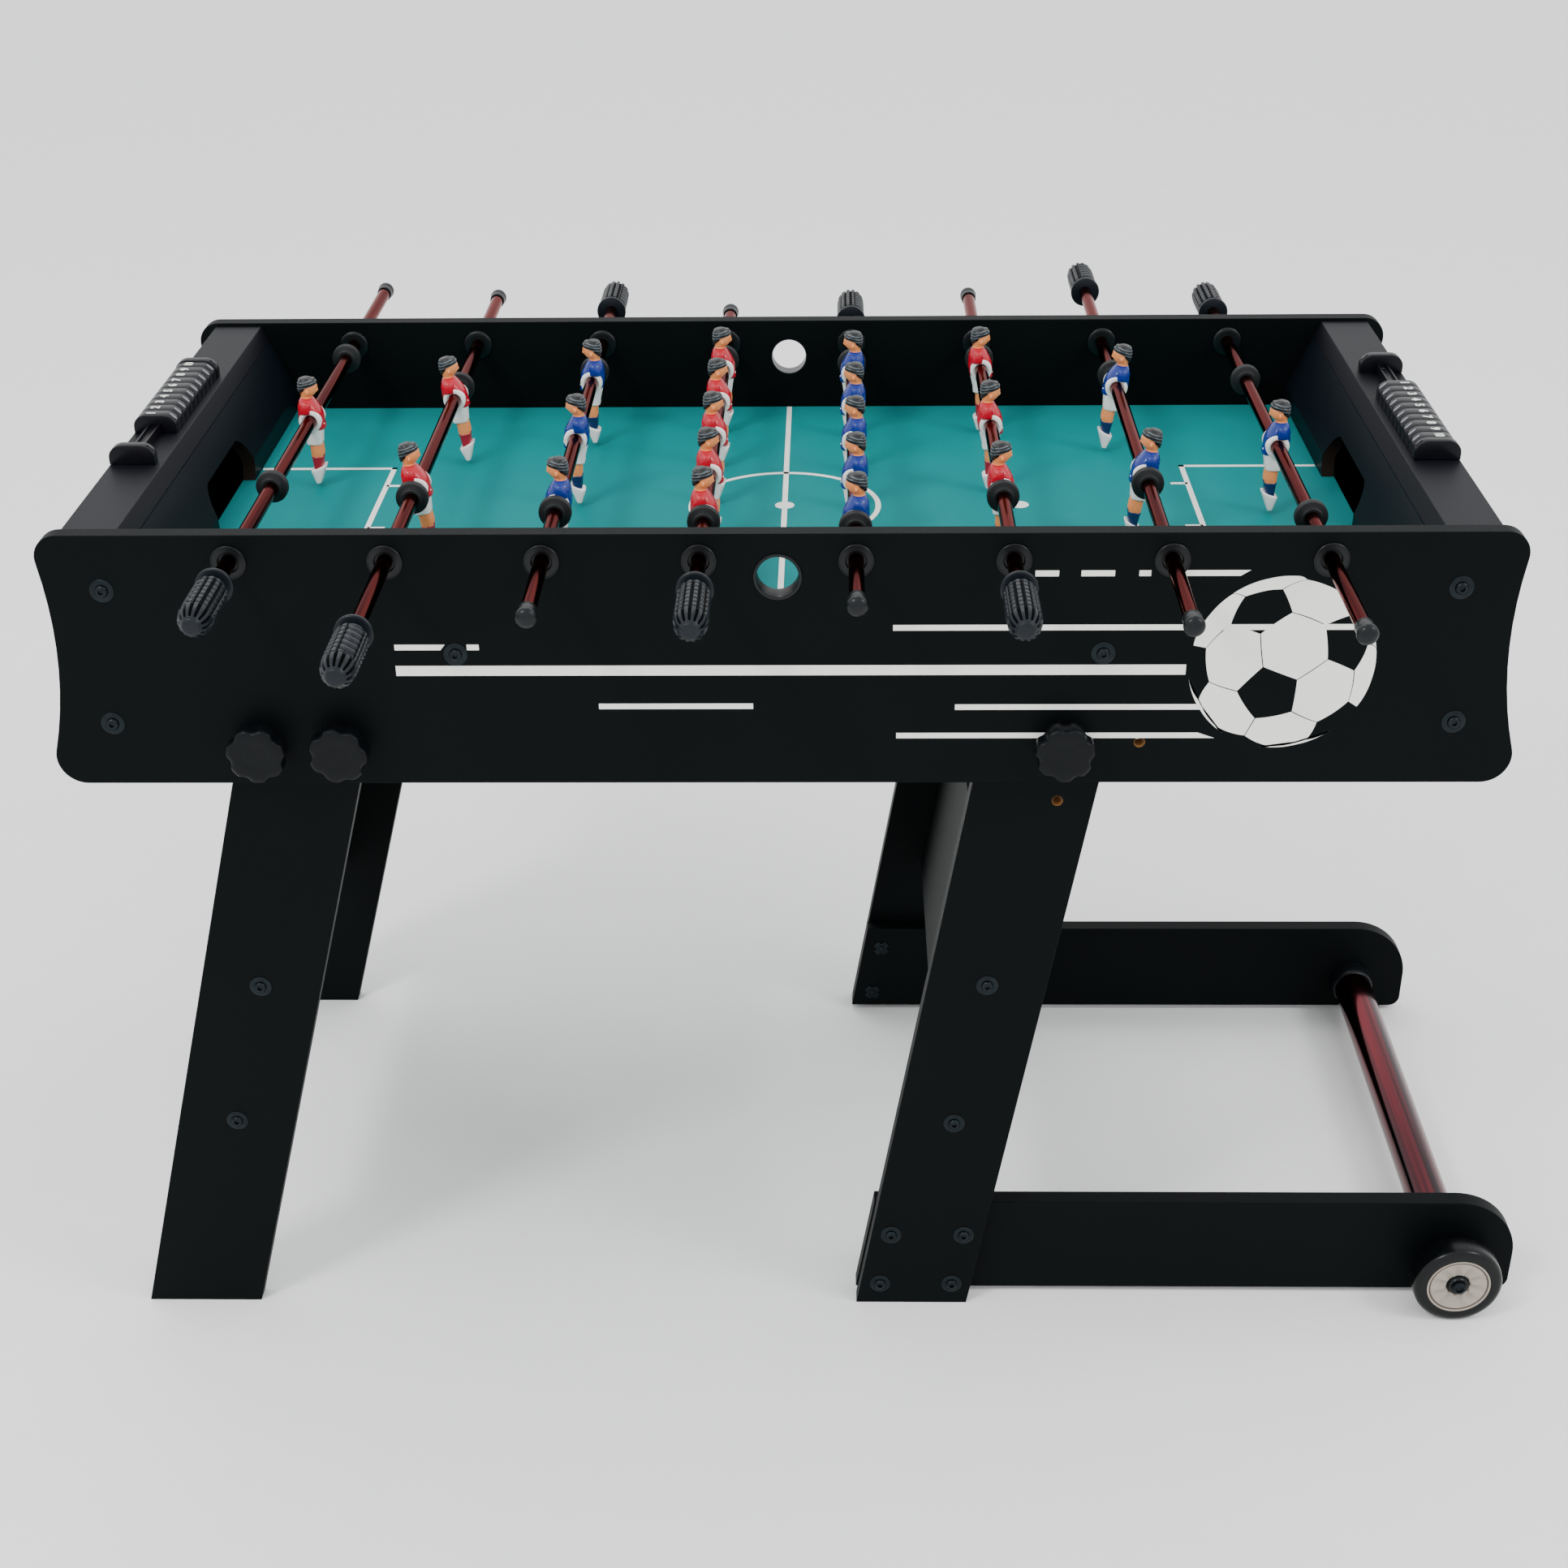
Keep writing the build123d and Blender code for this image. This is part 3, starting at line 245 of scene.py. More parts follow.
# Chromed rods: a brownish red painted reflection of the dark table round them, which stays at a grazing angle.
ROD_CHROME = ReflectionStreakTube("chromed_rod", "#4e2423", "#1c171b", 0.14, metallic=1.0, edge="#e2c2c1", grain_mm=3,
                       bump=0.02, patch_mm=4, gloss_wander=0.03)
# Chromed foot tube: painted reflection like the rods', redder and brighter, in wider streaks.
TUBE_CHROME = ReflectionStreakTube("chromed_foot_tube", "#6e2c33", "#2b2124", 0.13, metallic=1.0, grain_mm=4, bump=0.02,
                        patch_mm=9, gloss_wander=0.03)
# Black-oxide steel screws: dark and a little blue, so that their rims just show on the boards.
BLACK_STEEL = Finish("black_oxide_steel", "#191e21", "#262c2f", 0.36, metallic=1.0, grain_mm=1.2, bump=0.08,
                     patch_mm=6)
# Stamped nuts of the foot: the same steel, a shade lighter and duller.
NUT_STEEL = Finish("blackened_nut_steel", "#1b2023", "#262b2e", 0.42, metallic=1.0, grain_mm=1.4, bump=0.1,
                   patch_mm=5)
# Moulded black ABS of the rod bearings and entry rings, satin from the mould.
BEARING_ABS = Finish("bearing_abs", "#080b0d", "#0d1113", 0.34, ior=1.38, specular=0.35, grain_mm=0.7, bump=0.08,
                     patch_mm=20)
# Moulded rubber bumpers: black faces that pick up a grey bloom.
BUMPER_RUBBER = Finish("moulded_bumper_rubber", "#0a0c0d", "#141819", 0.56, ior=1.42, specular=0.4, grain_mm=0.8,
                       bump=0.2, patch_mm=12)
# Grip plastic: semi-gloss polypropylene with a bluish bloom on its ridges.
GRIP_PP = Finish("grip_polypropylene", "#0a0f14", "#11171d", 0.36, ior=1.4, specular=0.3, grain_mm=0.9, bump=0.1,
                 patch_mm=14)
# The floors of the grip's grooves: the same plastic, matt, and painted near black as painted shade.
GRIP_GROOVE_SHADE = Finish("grip_groove", "#020303", "#040506", 0.8, specular=0.08, grain_mm=0.9, bump=0.1, patch_mm=10)
# Caps, tube cups and wheel bodies: hard smooth ABS with a small clear highlight.
CAP_ABS = Finish("cap_abs", "#070a0d", "#0d1114", 0.32, ior=1.4, specular=0.3, grain_mm=0.9, bump=0.06, patch_mm=10)
# Locking knobs: satin ABS, near black, whose lobes take a soft edge of light.
KNOB_ABS = Finish("knob_abs", "#04070a", "#080b0e", 0.4, ior=1.35, specular=0.22, grain_mm=0.7, bump=0.12,
                  patch_mm=18)
# Score beads and their bars: black ABS with a faint violet cast, glossy on the rounded shoulders.
BEAD_ABS = Finish("bead_abs", "#08090e", "#0e0d13", 0.34, ior=1.35, specular=0.22, grain_mm=1.0, bump=0.06,
                  patch_mm=12)
# The beads' dimples: a pale grey painted highlight, standing in for the glint each one catches.
BEAD_PAINTED_HIGHLIGHT = Finish("bead_recess", "#7b7f87", "#666a72", 0.3, grain_mm=1.0, bump=0.05, patch_mm=8)
# Shirts: strong red and blue paint over moulded plastic, in a thin glossy coat.
SHIRT_RED = Finish("shirt_red", "#a8001c", "#b30526", 0.26, coat=0.15, specular=0.35, grain_mm=2.0, bump=0.08,
                   patch_mm=7)
SHIRT_BLUE = Finish("shirt_blue", "#04206f", "#082b85", 0.26, coat=0.15, specular=0.35, grain_mm=2.0, bump=0.08,
                    patch_mm=7)
# Socks: the shirts' paints, darker and less even where the brush ends.
SOCK_RED = Finish("sock_red", "#a40f2a", "#8f0d26", 0.34, coat=0.3, grain_mm=2.0, bump=0.1, patch_mm=6)
SOCK_NAVY = Finish("sock_navy", "#18255c", "#131d49", 0.34, coat=0.3, grain_mm=2.0, bump=0.1, patch_mm=6)
# Skin paint: flat warm orange, duller than the shirts.
SKIN = Finish("skin_paint", "#f0965a", "#e5874b", 0.4, coat=0.15, grain_mm=2.0, bump=0.06, patch_mm=6)
# Shorts, cuffs and shoes: the figure's own white under a clear coat.
WHITE_PAINT = Finish("white_paint", "#eceae6", "#e2e1de", 0.33, coat=0.3, grain_mm=2.0, bump=0.08, patch_mm=6)
# Hair: black paint that sits in the combed hollows.
HAIR = Finish("hair_paint", "#08090a", "#0d0f11", 0.4, specular=0.35, grain_mm=1.5, bump=0.06, patch_mm=4)
# Painted highlight on the crests of the hair: a pale grey that stands in for the light the ridges catch.
HAIR_PAINTED_HIGHLIGHT = Finish("hair_crest", "#5f6a72", "#4b555c", 0.42, grain_mm=1.5, bump=0.06, patch_mm=4)
# Wheel tyres: glossy black PVC that holds a long soft highlight.
TYRE = Finish("wheel_pvc", "#040506", "#08090b", 0.24, ior=1.4, specular=0.3, grain_mm=1.2, bump=0.06, patch_mm=18)
# Wheel hubs: matt cream nylon, with a darker brown parting line.
HUB = Finish("hub_nylon", "#9a9287", "#877f73", 0.42, grain_mm=1.5, bump=0.1, patch_mm=8)
HUB_LINE = Finish("hub_parting_line", "#4a3a33", "#3d302b", 0.5, grain_mm=1.0, bump=0.1, patch_mm=6)
# Floor: smooth pale paint, matt enough to keep no reflection.
FLOOR = Finish("pale_floor", "#f2f2f1", "#eeeeed", 0.75, grain_mm=4, bump=0.02)


# ---------------------------------------------------------------- shapes
def ring_quads(rows: int, columns: int, closed: bool) -> np.ndarray:
    """Quads between neighbouring rows of a grid whose columns close on themselves, as do its rows if closed."""
    row, column = np.meshgrid(np.arange(rows if closed else rows - 1), np.arange(columns), indexing="ij")
    after, below = (column + 1) % columns, (row + 1) % rows
    return np.stack([row * columns + column, row * columns + after, below * columns + after,
                     below * columns + column], -1).reshape(-1, 4)


def faces_in(points: np.ndarray, quads: np.ndarray, tris: np.ndarray) -> bool:
    """Whether a closed surface faces inwards, by the sign of the volume that it closes."""
    halves = np.concatenate([quads[:, [0, 1, 2]], quads[:, [0, 2, 3]], tris])
    corners = points[halves] - points.mean(0)
    return np.einsum("ij,ij->i", corners[:, 0], np.cross(corners[:, 1], corners[:, 2])).sum() < 0


def settle(name: str, mesh: bpy.types.Mesh, body: str) -> bpy.types.Object:
    """Makes a piece's object and sets it on its body.

    Args:
        name: The piece's name.
        mesh: Its mesh, in the table's frame.
        body: The body it rides on.

    Returns:
        The new object.
    """
    made = bpy.data.objects.new(name, mesh)
    bpy.context.scene.collection.objects.link(made)
    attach(made, body)
    LOG.info("%s: %d faces on %s", name, len(mesh.polygons), body)
    return made


NO_TRIS = np.zeros((0, 3), int)


class Shape:
    """Gathers closed surfaces, each a grid of points in metres, into the mesh of one piece."""

    def __init__(self) -> None:
        """Starts with no surface."""
        self.points: list[np.ndarray] = []
        self.quads: list[np.ndarray] = []
        self.tris: list[np.ndarray] = []
        self.quad_tints: list[np.ndarray] = []
        self.tri_tints: list[np.ndarray] = []
        self.count = 0

    def grid(self, points: np.ndarray, tint: int | np.ndarray = 0) -> None:
        """Adds a tube-like surface whose columns close on themselves and whose two ends are capped.

        Each cap is a fan round the middle of its row. Faces are turned outwards by the sign of the volume that
        they close.

        Args:
            points: Rows by columns by 3, in metres.
            tint: The finish's number, or one number for each face between two rows.
        """
        rows, columns = points.shape[:2]
        quads = ring_quads(rows, columns, closed=False)
        ring = np.arange(columns)
        near = np.stack([np.full(columns, rows * columns), (ring + 1) % columns, ring], -1)
        far = np.stack([np.full(columns, rows * columns + 1), (rows - 1) * columns + ring,
                        (rows - 1) * columns + (ring + 1) % columns], -1)
        tris = np.concatenate([near, far])
        everything = np.concatenate([points.reshape(-1, 3), np.stack([points[0].mean(0), points[-1].mean(0)])])
        if faces_in(everything, quads, tris):
            quads, tris = quads[:, ::-1], tris[:, ::-1]
        cells = np.broadcast_to(tint, (rows - 1, columns))
        self.points.append(everything)
        self.quads.append(quads + self.count)
        self.tris.append(tris + self.count)
        self.quad_tints.append(cells.ravel())
        self.tri_tints.append(np.repeat([cells[0, 0], cells[-1, 0]], columns))
        self.count += len(everything)

    def loop(self, points: np.ndarray, tint: int = 0) -> None:
        """Adds a ring-like surface whose columns close on themselves and whose last row meets its first.

        Args:
            points: Rows by columns by 3, in metres, with the first row repeated at the end.
            tint: The finish's number.
        """
        flat = points[:-1].reshape(-1, 3)
        quads = ring_quads(len(points) - 1, points.shape[1], closed=True)
        if faces_in(flat, quads, NO_TRIS):
            quads = quads[:, ::-1]
        self.points.append(flat)
        self.quads.append(quads + self.count)
        self.quad_tints.append(np.full(len(quads), tint))
        self.count += len(flat)

    def plate(self, outline: np.ndarray, thickness: np.ndarray, tint: int = 0) -> None:
        """Adds a thin plate with this convex outline (n by 3, metres) and this thickness vector."""
        middle = outline.mean(0)
        inner = middle + (outline - middle) * 0.5
        self.grid(np.stack([inner, outline, outline + thickness, inner + thickness]), tint)

    def piece(self, name: str, finishes: list[Finish], body: str, slot: str, replaces: tuple[str, ...] = (),
              sharp_deg: float = 35.0) -> None:
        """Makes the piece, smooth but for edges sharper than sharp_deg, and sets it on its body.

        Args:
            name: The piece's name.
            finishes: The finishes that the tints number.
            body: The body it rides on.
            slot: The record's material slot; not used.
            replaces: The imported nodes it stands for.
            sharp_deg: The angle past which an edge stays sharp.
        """
        points = np.concatenate(self.points)
        quads = np.concatenate(self.quads)
        tris = np.concatenate([NO_TRIS, *self.tris])
        mesh = bpy.data.meshes.new(name)
        mesh.vertices.add(len(points))
        mesh.vertices.foreach_set("co", points.astype(np.float32).ravel())
        mesh.loops.add(quads.size + tris.size)
        mesh.loops.foreach_set("vertex_index", np.concatenate([quads.ravel(), tris.ravel()]).astype(np.int32))
        sizes = np.concatenate([np.full(len(quads), 4), np.full(len(tris), 3)])
        mesh.polygons.add(len(sizes))
        mesh.polygons.foreach_set("loop_start", (np.cumsum(sizes) - sizes).astype(np.int32))
        mesh.polygons.foreach_set("material_index",
                                  np.concatenate(self.quad_tints + self.tri_tints).astype(np.int32))
        for finish in finishes:
            mesh.materials.append(finish.material())
        mesh.update(calc_edges=True)
        mesh.validate()
        mesh.shade_smooth()
        mesh.set_sharp_from_angle(angle=math.radians(sharp_deg))
        made = settle(name, mesh, body)
        if replaces:
            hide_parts(*replaces)


@dataclass(frozen=True)
class Axis:
    """A line along Y with an outward sense: distances run outwards from its origin."""

    x: float
    y: float
    z: float
    outward: int = 1

    def place(self, across: np.ndarray, along: np.ndarray, up: np.ndarray) -> np.ndarray:
        """Points in metres from millimetres across (X), along (outwards) and up."""
        return np.stack([self.x + across * MM, self.y + self.outward * along * MM, self.z + up * MM], -1)


def angles(count: int) -> np.ndarray:
    """Angles evenly round a circle."""
    return np.linspace(0, 2 * math.pi, count, endpoint=False)


def lathe(shape: Shape, axis: Axis, profile: list[tuple[float, float]], tint: int = 0, around: int = 40) -> None:
    """Adds a turned surface: each (distance outwards, radius) in millimetres sweeps a circle round the axis."""
    keys = np.array(profile, float)
    turn = angles(around)
    radius = keys[:, 1:2]
    shape.grid(axis.place(radius * np.cos(turn), keys[:, :1] + 0 * turn, radius * np.sin(turn)), tint)


def hollow_lathe(shape: Shape, axis: Axis, section: list[tuple[float, float]], tint: int = 0, around: int = 40) -> None:
    """Adds a ring: a closed (distance, radius) section in millimetres swept right round the axis.

    Rows go round the axis and columns round the section, and the last row is joined to the first.
    """
    keys = np.array(section, float)
    turn = np.linspace(0, 2 * math.pi, around + 1)[:, None]
    points = axis.place(keys[:, 1] * np.cos(turn), keys[:, 0] + 0 * turn, keys[:, 1] * np.sin(turn))
    shape.loop(points, tint)


def tube_profile(length: float, radius: float, chamfer: float) -> list[tuple[float, float]]:
    """The profile of a straight tube with chamfered ends, in millimetres."""
    return [(0, radius - chamfer), (chamfer, radius), (length / 2, radius), (length - chamfer, radius),
            (length, radius - chamfer)]


def eased(keys: list[tuple[float, ...]], count: int) -> np.ndarray:
    """A smooth curve through the keys.

    Between two keys each value is a cubic whose slope at a key is half the step between the key's neighbours.

    Args:
        keys: The values at each key.
        count: How many rows to work out.

    Returns:
        count rows, evenly spaced from the first key to the last.
    """
    knots = np.array(keys, float)
    last = len(knots) - 1
    where = np.linspace(0, last, count)
    low = np.minimum(where.astype(int), last - 1)
    share = (where - low)[:, None]
    before, first = knots[np.maximum(low - 1, 0)], knots[low]
    second, after = knots[low + 1], knots[np.minimum(low + 2, last)]
    return 0.5 * (2 * first + (second - before) * share
                  + (2 * before - 5 * first + 4 * second - after) * share ** 2
                  + (3 * first - before - 3 * second + after) * share ** 3)


def centre_of(node: str) -> Vector:
    """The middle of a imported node's box."""
    low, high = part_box(node)
    return (low + high) / 2


def outer_faces() -> list[tuple[float, int]]:
    """The side boards' outer faces: where each lies along Y, and which way it looks."""
    return [(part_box("side_panel_front")[0][1], -1), (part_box("side_panel_back")[1][1], 1)]


def dress(node: str, finish: Finish) -> None:
    """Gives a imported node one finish."""
    mesh = frame["nodes"][node].data
    mesh.materials.clear()
    mesh.materials.append(finish.material())


# ---------------------------------------------------------------- cabinet
@dataclass
class Cabinet:
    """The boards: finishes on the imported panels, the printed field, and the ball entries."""

    ink_t: float = 0.25
    line_width: float = 5.0
    circle_r: float = 87.0
    spot_r: float = 9.0
    box_from_wall: float = 129.0
    box_half_width: float = 103.0
    tick_from_middle: float = 55.0
    tick_length: float = 16.0
    spot_x: float = 217.6
    spot_gap: float = 0.5
    edge_gap: float = 1.0
    field_under_wall: float = 12.0
    fold_reach: float = 64.0
    mouth_half: float = 90.0
    mouth_height: float = 48.0

    def dress(self) -> None:
        """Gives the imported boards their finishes."""
        right, lock = PIVOTS["right_legs_fold"], PIVOTS["left_lock_knobs_turn"]
        reach = self.fold_reach * MM
        panel = CutBoard("side_panel_melamine", **BLACK_PAPER, holes=((right[0] + reach, right[2]),))
        leg = CutBoard("leg_melamine", **BLACK_PAPER, holes=((right[0], right[2] - reach), (lock[0], lock[2])))
        # The goal walls' paper is painted a little lighter and bluer than the other boards: painted light and a painted
        # reflection of the teal field.
        goal = GoalBoard("goal_wall_melamine", "#070d13", "#0a1016", 0.46, ior=1.3, specular=0.2, raw="#1c1510",
                         grain_mm=0.9, bump=0.12, patch_mm=120, mouth_half_m=self.mouth_half * MM,
                         middle_y_m=centre_of("goal_walls")[1],
                         mouth_top_m=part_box("goal_walls")[0][2] + self.mouth_height * MM)
        finishes = {"side_panel_front": panel, "side_panel_back": panel, "goal_walls": goal,
                    "end_top_boards": TOP_MELAMINE, "end_panels": MELAMINE, "ball_trays": BEARING_ABS,
                    "playfield": FIELD, "inner_cleats": RAW_MDF, "left_legs": leg, "right_legs": leg,
                    "left_cross_panel": MELAMINE, "right_cross_panel": MELAMINE, "foot_beams": MELAMINE}
        for node, finish in finishes.items():
            dress(node, finish)

    def ink(self, shape: Shape, outline: np.ndarray) -> None:
        """Adds a plate of ink on this outline in metres."""
        shape.plate(outline, np.array([0, 0, self.ink_t * MM]))

    def rectangle(self, shape: Shape, x0: float, x1: float, y0: float, y1: float, z: float) -> None:
        """Adds a printed bar on the field between these metres, whichever of x0 and x1 is the lower."""
        x0, x1 = min(x0, x1), max(x0, x1)
        self.ink(shape, np.array([(x0, y0, z), (x1, y0, z), (x1, y1, z), (x0, y1, z)]))

    def circle(self, shape: Shape, x: float, y: float, z: float) -> None:
        """Adds the centre circle's line, in 60 straight-sided plates."""
        half = self.line_width / 2
        inner, outer = self.circle_r - half, self.circle_r + half
        turn = np.linspace(0, 2 * math.pi, 61)
        for first, second in zip(turn[:-1], turn[1:]):
            radius, angle = np.array([(inner, first), (outer, first), (outer, second), (inner, second)]).T
            self.ink(shape, np.stack([x + radius * np.cos(angle) * MM, y + radius * np.sin(angle) * MM,
                                      z + 0 * angle], -1))

    def disc(self, shape: Shape, x: float, y: float, z: float) -> None:
        """Adds a printed spot."""
        turn = angles(32)
        self.ink(shape, np.stack([x + self.spot_r * np.cos(turn) * MM, y + self.spot_r * np.sin(turn) * MM,
                                  z + 0 * turn], -1))

    def print_field(self) -> None:
        """Prints the field's lines: halfway line, circle, spots, penalty boxes and their ticks."""
        low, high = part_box("playfield")
        inner_low, inner_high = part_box("goal_walls")
        (x, y, _), z = (low + high) / 2, high[2]
        half = self.line_width / 2 * MM
        gap = self.edge_gap * MM
        inside = self.circle_r * MM - half
        spot = (self.spot_r + self.spot_gap) * MM
        edge = (high[0] - low[0]) / 2 - self.field_under_wall * MM
        shape = Shape()
        for start, end in ((inner_low[1] + gap, y - inside), (y + inside, inner_high[1] - gap),
                           (y - inside, y - spot), (y + spot, y + inside)):
            self.rectangle(shape, x - half, x + half, start, end, z)
        self.circle(shape, x, y, z)
        for place in (-self.spot_x, 0.0, self.spot_x):
            self.disc(shape, x + place * MM, y, z)
        box_half = self.box_half_width * MM
        for end in SIDES:
            wall = x + end * (edge - gap)
            line = x + end * (edge - self.box_from_wall * MM)
            for side in SIDES:
                corner, tick = y + side * box_half, y + side * self.tick_from_middle * MM
                self.rectangle(shape, wall, line - end * half, corner - half, corner + half, z)
                self.rectangle(shape, line, line - end * self.tick_length * MM, tick - half, tick + half, z)
            self.rectangle(shape, line - half, line + half, y - box_half - half, y + box_half + half, z)
        shape.piece("field_lines", [INK], "cabinet", "field_green")

    def entry_rings(self) -> None:
        """Turns the two ball-entry rings with a rounded lip."""
        x, _, z = centre_of("ball_entry_rings")
        shape = Shape()
        for face, side in outer_faces():
            hollow_lathe(shape, Axis(x, face, z, side), [
                (-16.7, 17.2), (1.0, 17.2), (1.6, 17.6), (1.7, 18.4), (1.3, 19.6), (0.6, 20.0), (0.05, 20.0),
                (0.05, 18.4), (-16.7, 18.4)], around=64)
        shape.piece("ball_entry_liners", [BEARING_ABS], "cabinet", "ring_plastic", ("ball_entry_rings",))


@dataclass(frozen=True)
class Stripe:
    """A printed stripe on the front: where it starts and ends along the field, its height and its thickness.

    slant is how much shorter its lower edge is than its upper one, and below zero the other way.
    """

    start: float
    end: float
    height: float
    thick: float = 5.0
    slant: float = 0.0


@dataclass
class SidePrint:
    """White print on the front side board: speed stripes behind a plain football of pentagons and hexagons.

    The stripes' ink is thinner than the football's by stripe_share, so that the two never share a face.
    A hexagon is printed if least_showing of its outline's points are nearer than rim_depth of the ball's radius.
    """

    ink_t: float = 0.2
    ball_x: float = 414.0
    ball_z: float = 691.7
    ball_r: float = 76.7
    seam: float = 0.9
    rim_depth: float = 0.04
    least_showing: int = 14
    stripe_share: float = 0.6
    turn_deg: tuple[float, float, float] = (163.29, -15.93, 144.5)
    stripes: tuple[Stripe, ...] = (
        Stripe(208.0, 227.0, 770.8), Stripe(245.0, 272.0, 770.8), Stripe(291.5, 301.0, 770.8),
        Stripe(328.5, 381.0, 770.8, slant=8.0), Stripe(94.0, 470.0, 723.8), Stripe(-316.8, -275.0, 707.2, slant=4.0),
        Stripe(-257.0, -247.0, 707.2), Stripe(-317.5, 335.5, 686.2, 9.0), Stripe(-150.5, -21.7, 653.6),
        Stripe(146.5, 352.0, 652.5), Stripe(98.0, 364.0, 626.3, slant=-14.0))

    def on_board(self, across: np.ndarray, up: np.ndarray) -> np.ndarray:
        """Points on the front board's face from millimetres along the field and up from the floor."""
        low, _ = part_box("side_panel_front")
        middle = centre_of("playfield")[0]
        return np.stack([middle + across * MM, np.full_like(across, low[1]), up * MM], -1)

    def tiles(self) -> list[np.ndarray]:
        """The football's hexagons as outlines on its disc.

        A football's hexagons sit round the middles of an icosahedron's 20 faces, with corners a third of the way
        along its edges. Each outline is pushed out to the ball, turned, and flattened straight towards the viewer.
        What lies beyond the ball's edge is drawn in to the edge.

        Returns:
            One n by 2 array of millimetres for each hexagon that shows.
        """
        golden = (1 + math.sqrt(5)) / 2
        corners = np.array([turned for a in (-1, 1) for b in (-1, 1)
                            for turned in ((0, a, b * golden), (a, b * golden, 0), (b * golden, 0, a))])
        corners /= np.linalg.norm(corners[0])
        x, y, z = (math.radians(angle) for angle in self.turn_deg)
        spin = np.array(Matrix.Rotation(z, 3, "Z") @ Matrix.Rotation(y, 3, "Y") @ Matrix.Rotation(x, 3, "X"))
        corners = corners @ spin.T
        edge = np.sort(np.linalg.norm(corners[0] - corners, axis=1))[1] * 1.01
        found = []
        for i in range(12):
            for j in range(i + 1, 12):
                for k in range(j + 1, 12):
                    trio = corners[[i, j, k]]
                    if max(np.linalg.norm(trio - np.roll(trio, 1, 0), axis=1)) > edge:
                        continue
                    sides = [(trio[a] * (1 - f) + trio[b] * f) for a, b in ((0, 1), (1, 2), (2, 0))
                             for f in (1 / 3, 2 / 3)]
                    path = np.concatenate([first + (second - first) * np.linspace(0, 1, 8, endpoint=False)[:, None]
                                           for first, second in zip(sides, sides[1:] + sides[:1])])
                    path /= np.linalg.norm(path, axis=1)[:, None]
                    if (path[:, 1] < -self.rim_depth).sum() < self.least_showing:
                        continue
                    flat = path[:, [0, 2]]
                    over = path[:, 1] > 0
                    flat[over] /= np.linalg.norm(flat[over], axis=1)[:, None]
                    middle = flat.mean(0)
                    spread = np.linalg.norm(flat - middle, axis=1)[:, None] * self.ball_r
                    found.append((middle + (flat - middle) * (1 - self.seam / 2 / spread)) * self.ball_r)
        return found

    def build(self) -> None:
        """Prints the stripes and the football."""
        shape = Shape()
        ink = np.array([0, -self.ink_t * MM, 0])
        for stripe in self.stripes:
            half = stripe.thick / 2
            upper = stripe.end - max(0.0, -stripe.slant)
            lower = stripe.end - max(0.0, stripe.slant)
            outline = np.array([(stripe.start, stripe.height - half), (lower, stripe.height - half),
                                (upper, stripe.height + half), (stripe.start, stripe.height + half)])
            shape.plate(self.on_board(outline[:, 0], outline[:, 1]), ink * self.stripe_share)
        for outline in self.tiles():
            shape.plate(self.on_board(self.ball_x + outline[:, 0], self.ball_z + outline[:, 1]), ink)
        shape.piece("side_print", [INK], "cabinet", "black_board")


# ---------------------------------------------------------------- screws, nuts and knobs
# Profiles of the pivot knobs' flanged nut and of the wheels' axle bolt head, as (distance outwards, radius).
NUT = [(0.0, 9.0), (0.9, 9.0), (1.5, 8.2), (1.5, 4.4), (0.3, 4.2)]
AXLE_HEAD = [(-6.0, 4.0), (0.05, 4.0), (0.05, 7.0), (1.6, 7.0), (3.0, 6.2), (3.6, 4.6), (3.9, 3.6), (2.4, 3.2)]


def screw(shape: Shape, axis: Axis) -> None:
    """Adds a washer and a button-head screw with a hexagon socket, seated at the axis's origin.

    The socket's rows change from the round head to a hexagon, whose radius is its flat's distance over the cosine
    of the angle from the flat's middle.
    """
    lathe(shape, axis, [(0.0, 9.7), (0.5, 10.0), (0.9, 9.4), (1.2, 8.2), (1.25, 5.8)], around=30)
    turn = angles(30)
    flat = 2.1
    hexagon = flat / np.cos((turn + math.pi / 6) % (math.pi / 3) - math.pi / 6)
    head = np.array([(1.2, 5.5), (2.0, 5.5), (3.2, 4.9), (3.9, 3.9), (4.15, 3.0)])
    along = np.append(head[:, 0], (4.15, 2.4))[:, None] + 0 * turn
    radius = np.concatenate([head[:, 1:] + 0 * turn, [hexagon, hexagon * 0.96]])
    shape.grid(axis.place(radius * np.cos(turn), along, radius * np.sin(turn)))


def leaning(foot: float, lean: float, z: float) -> float:
    """How far along a leg's centre line lies at this height, all in millimetres."""
    return foot + z * math.tan(math.radians(lean))


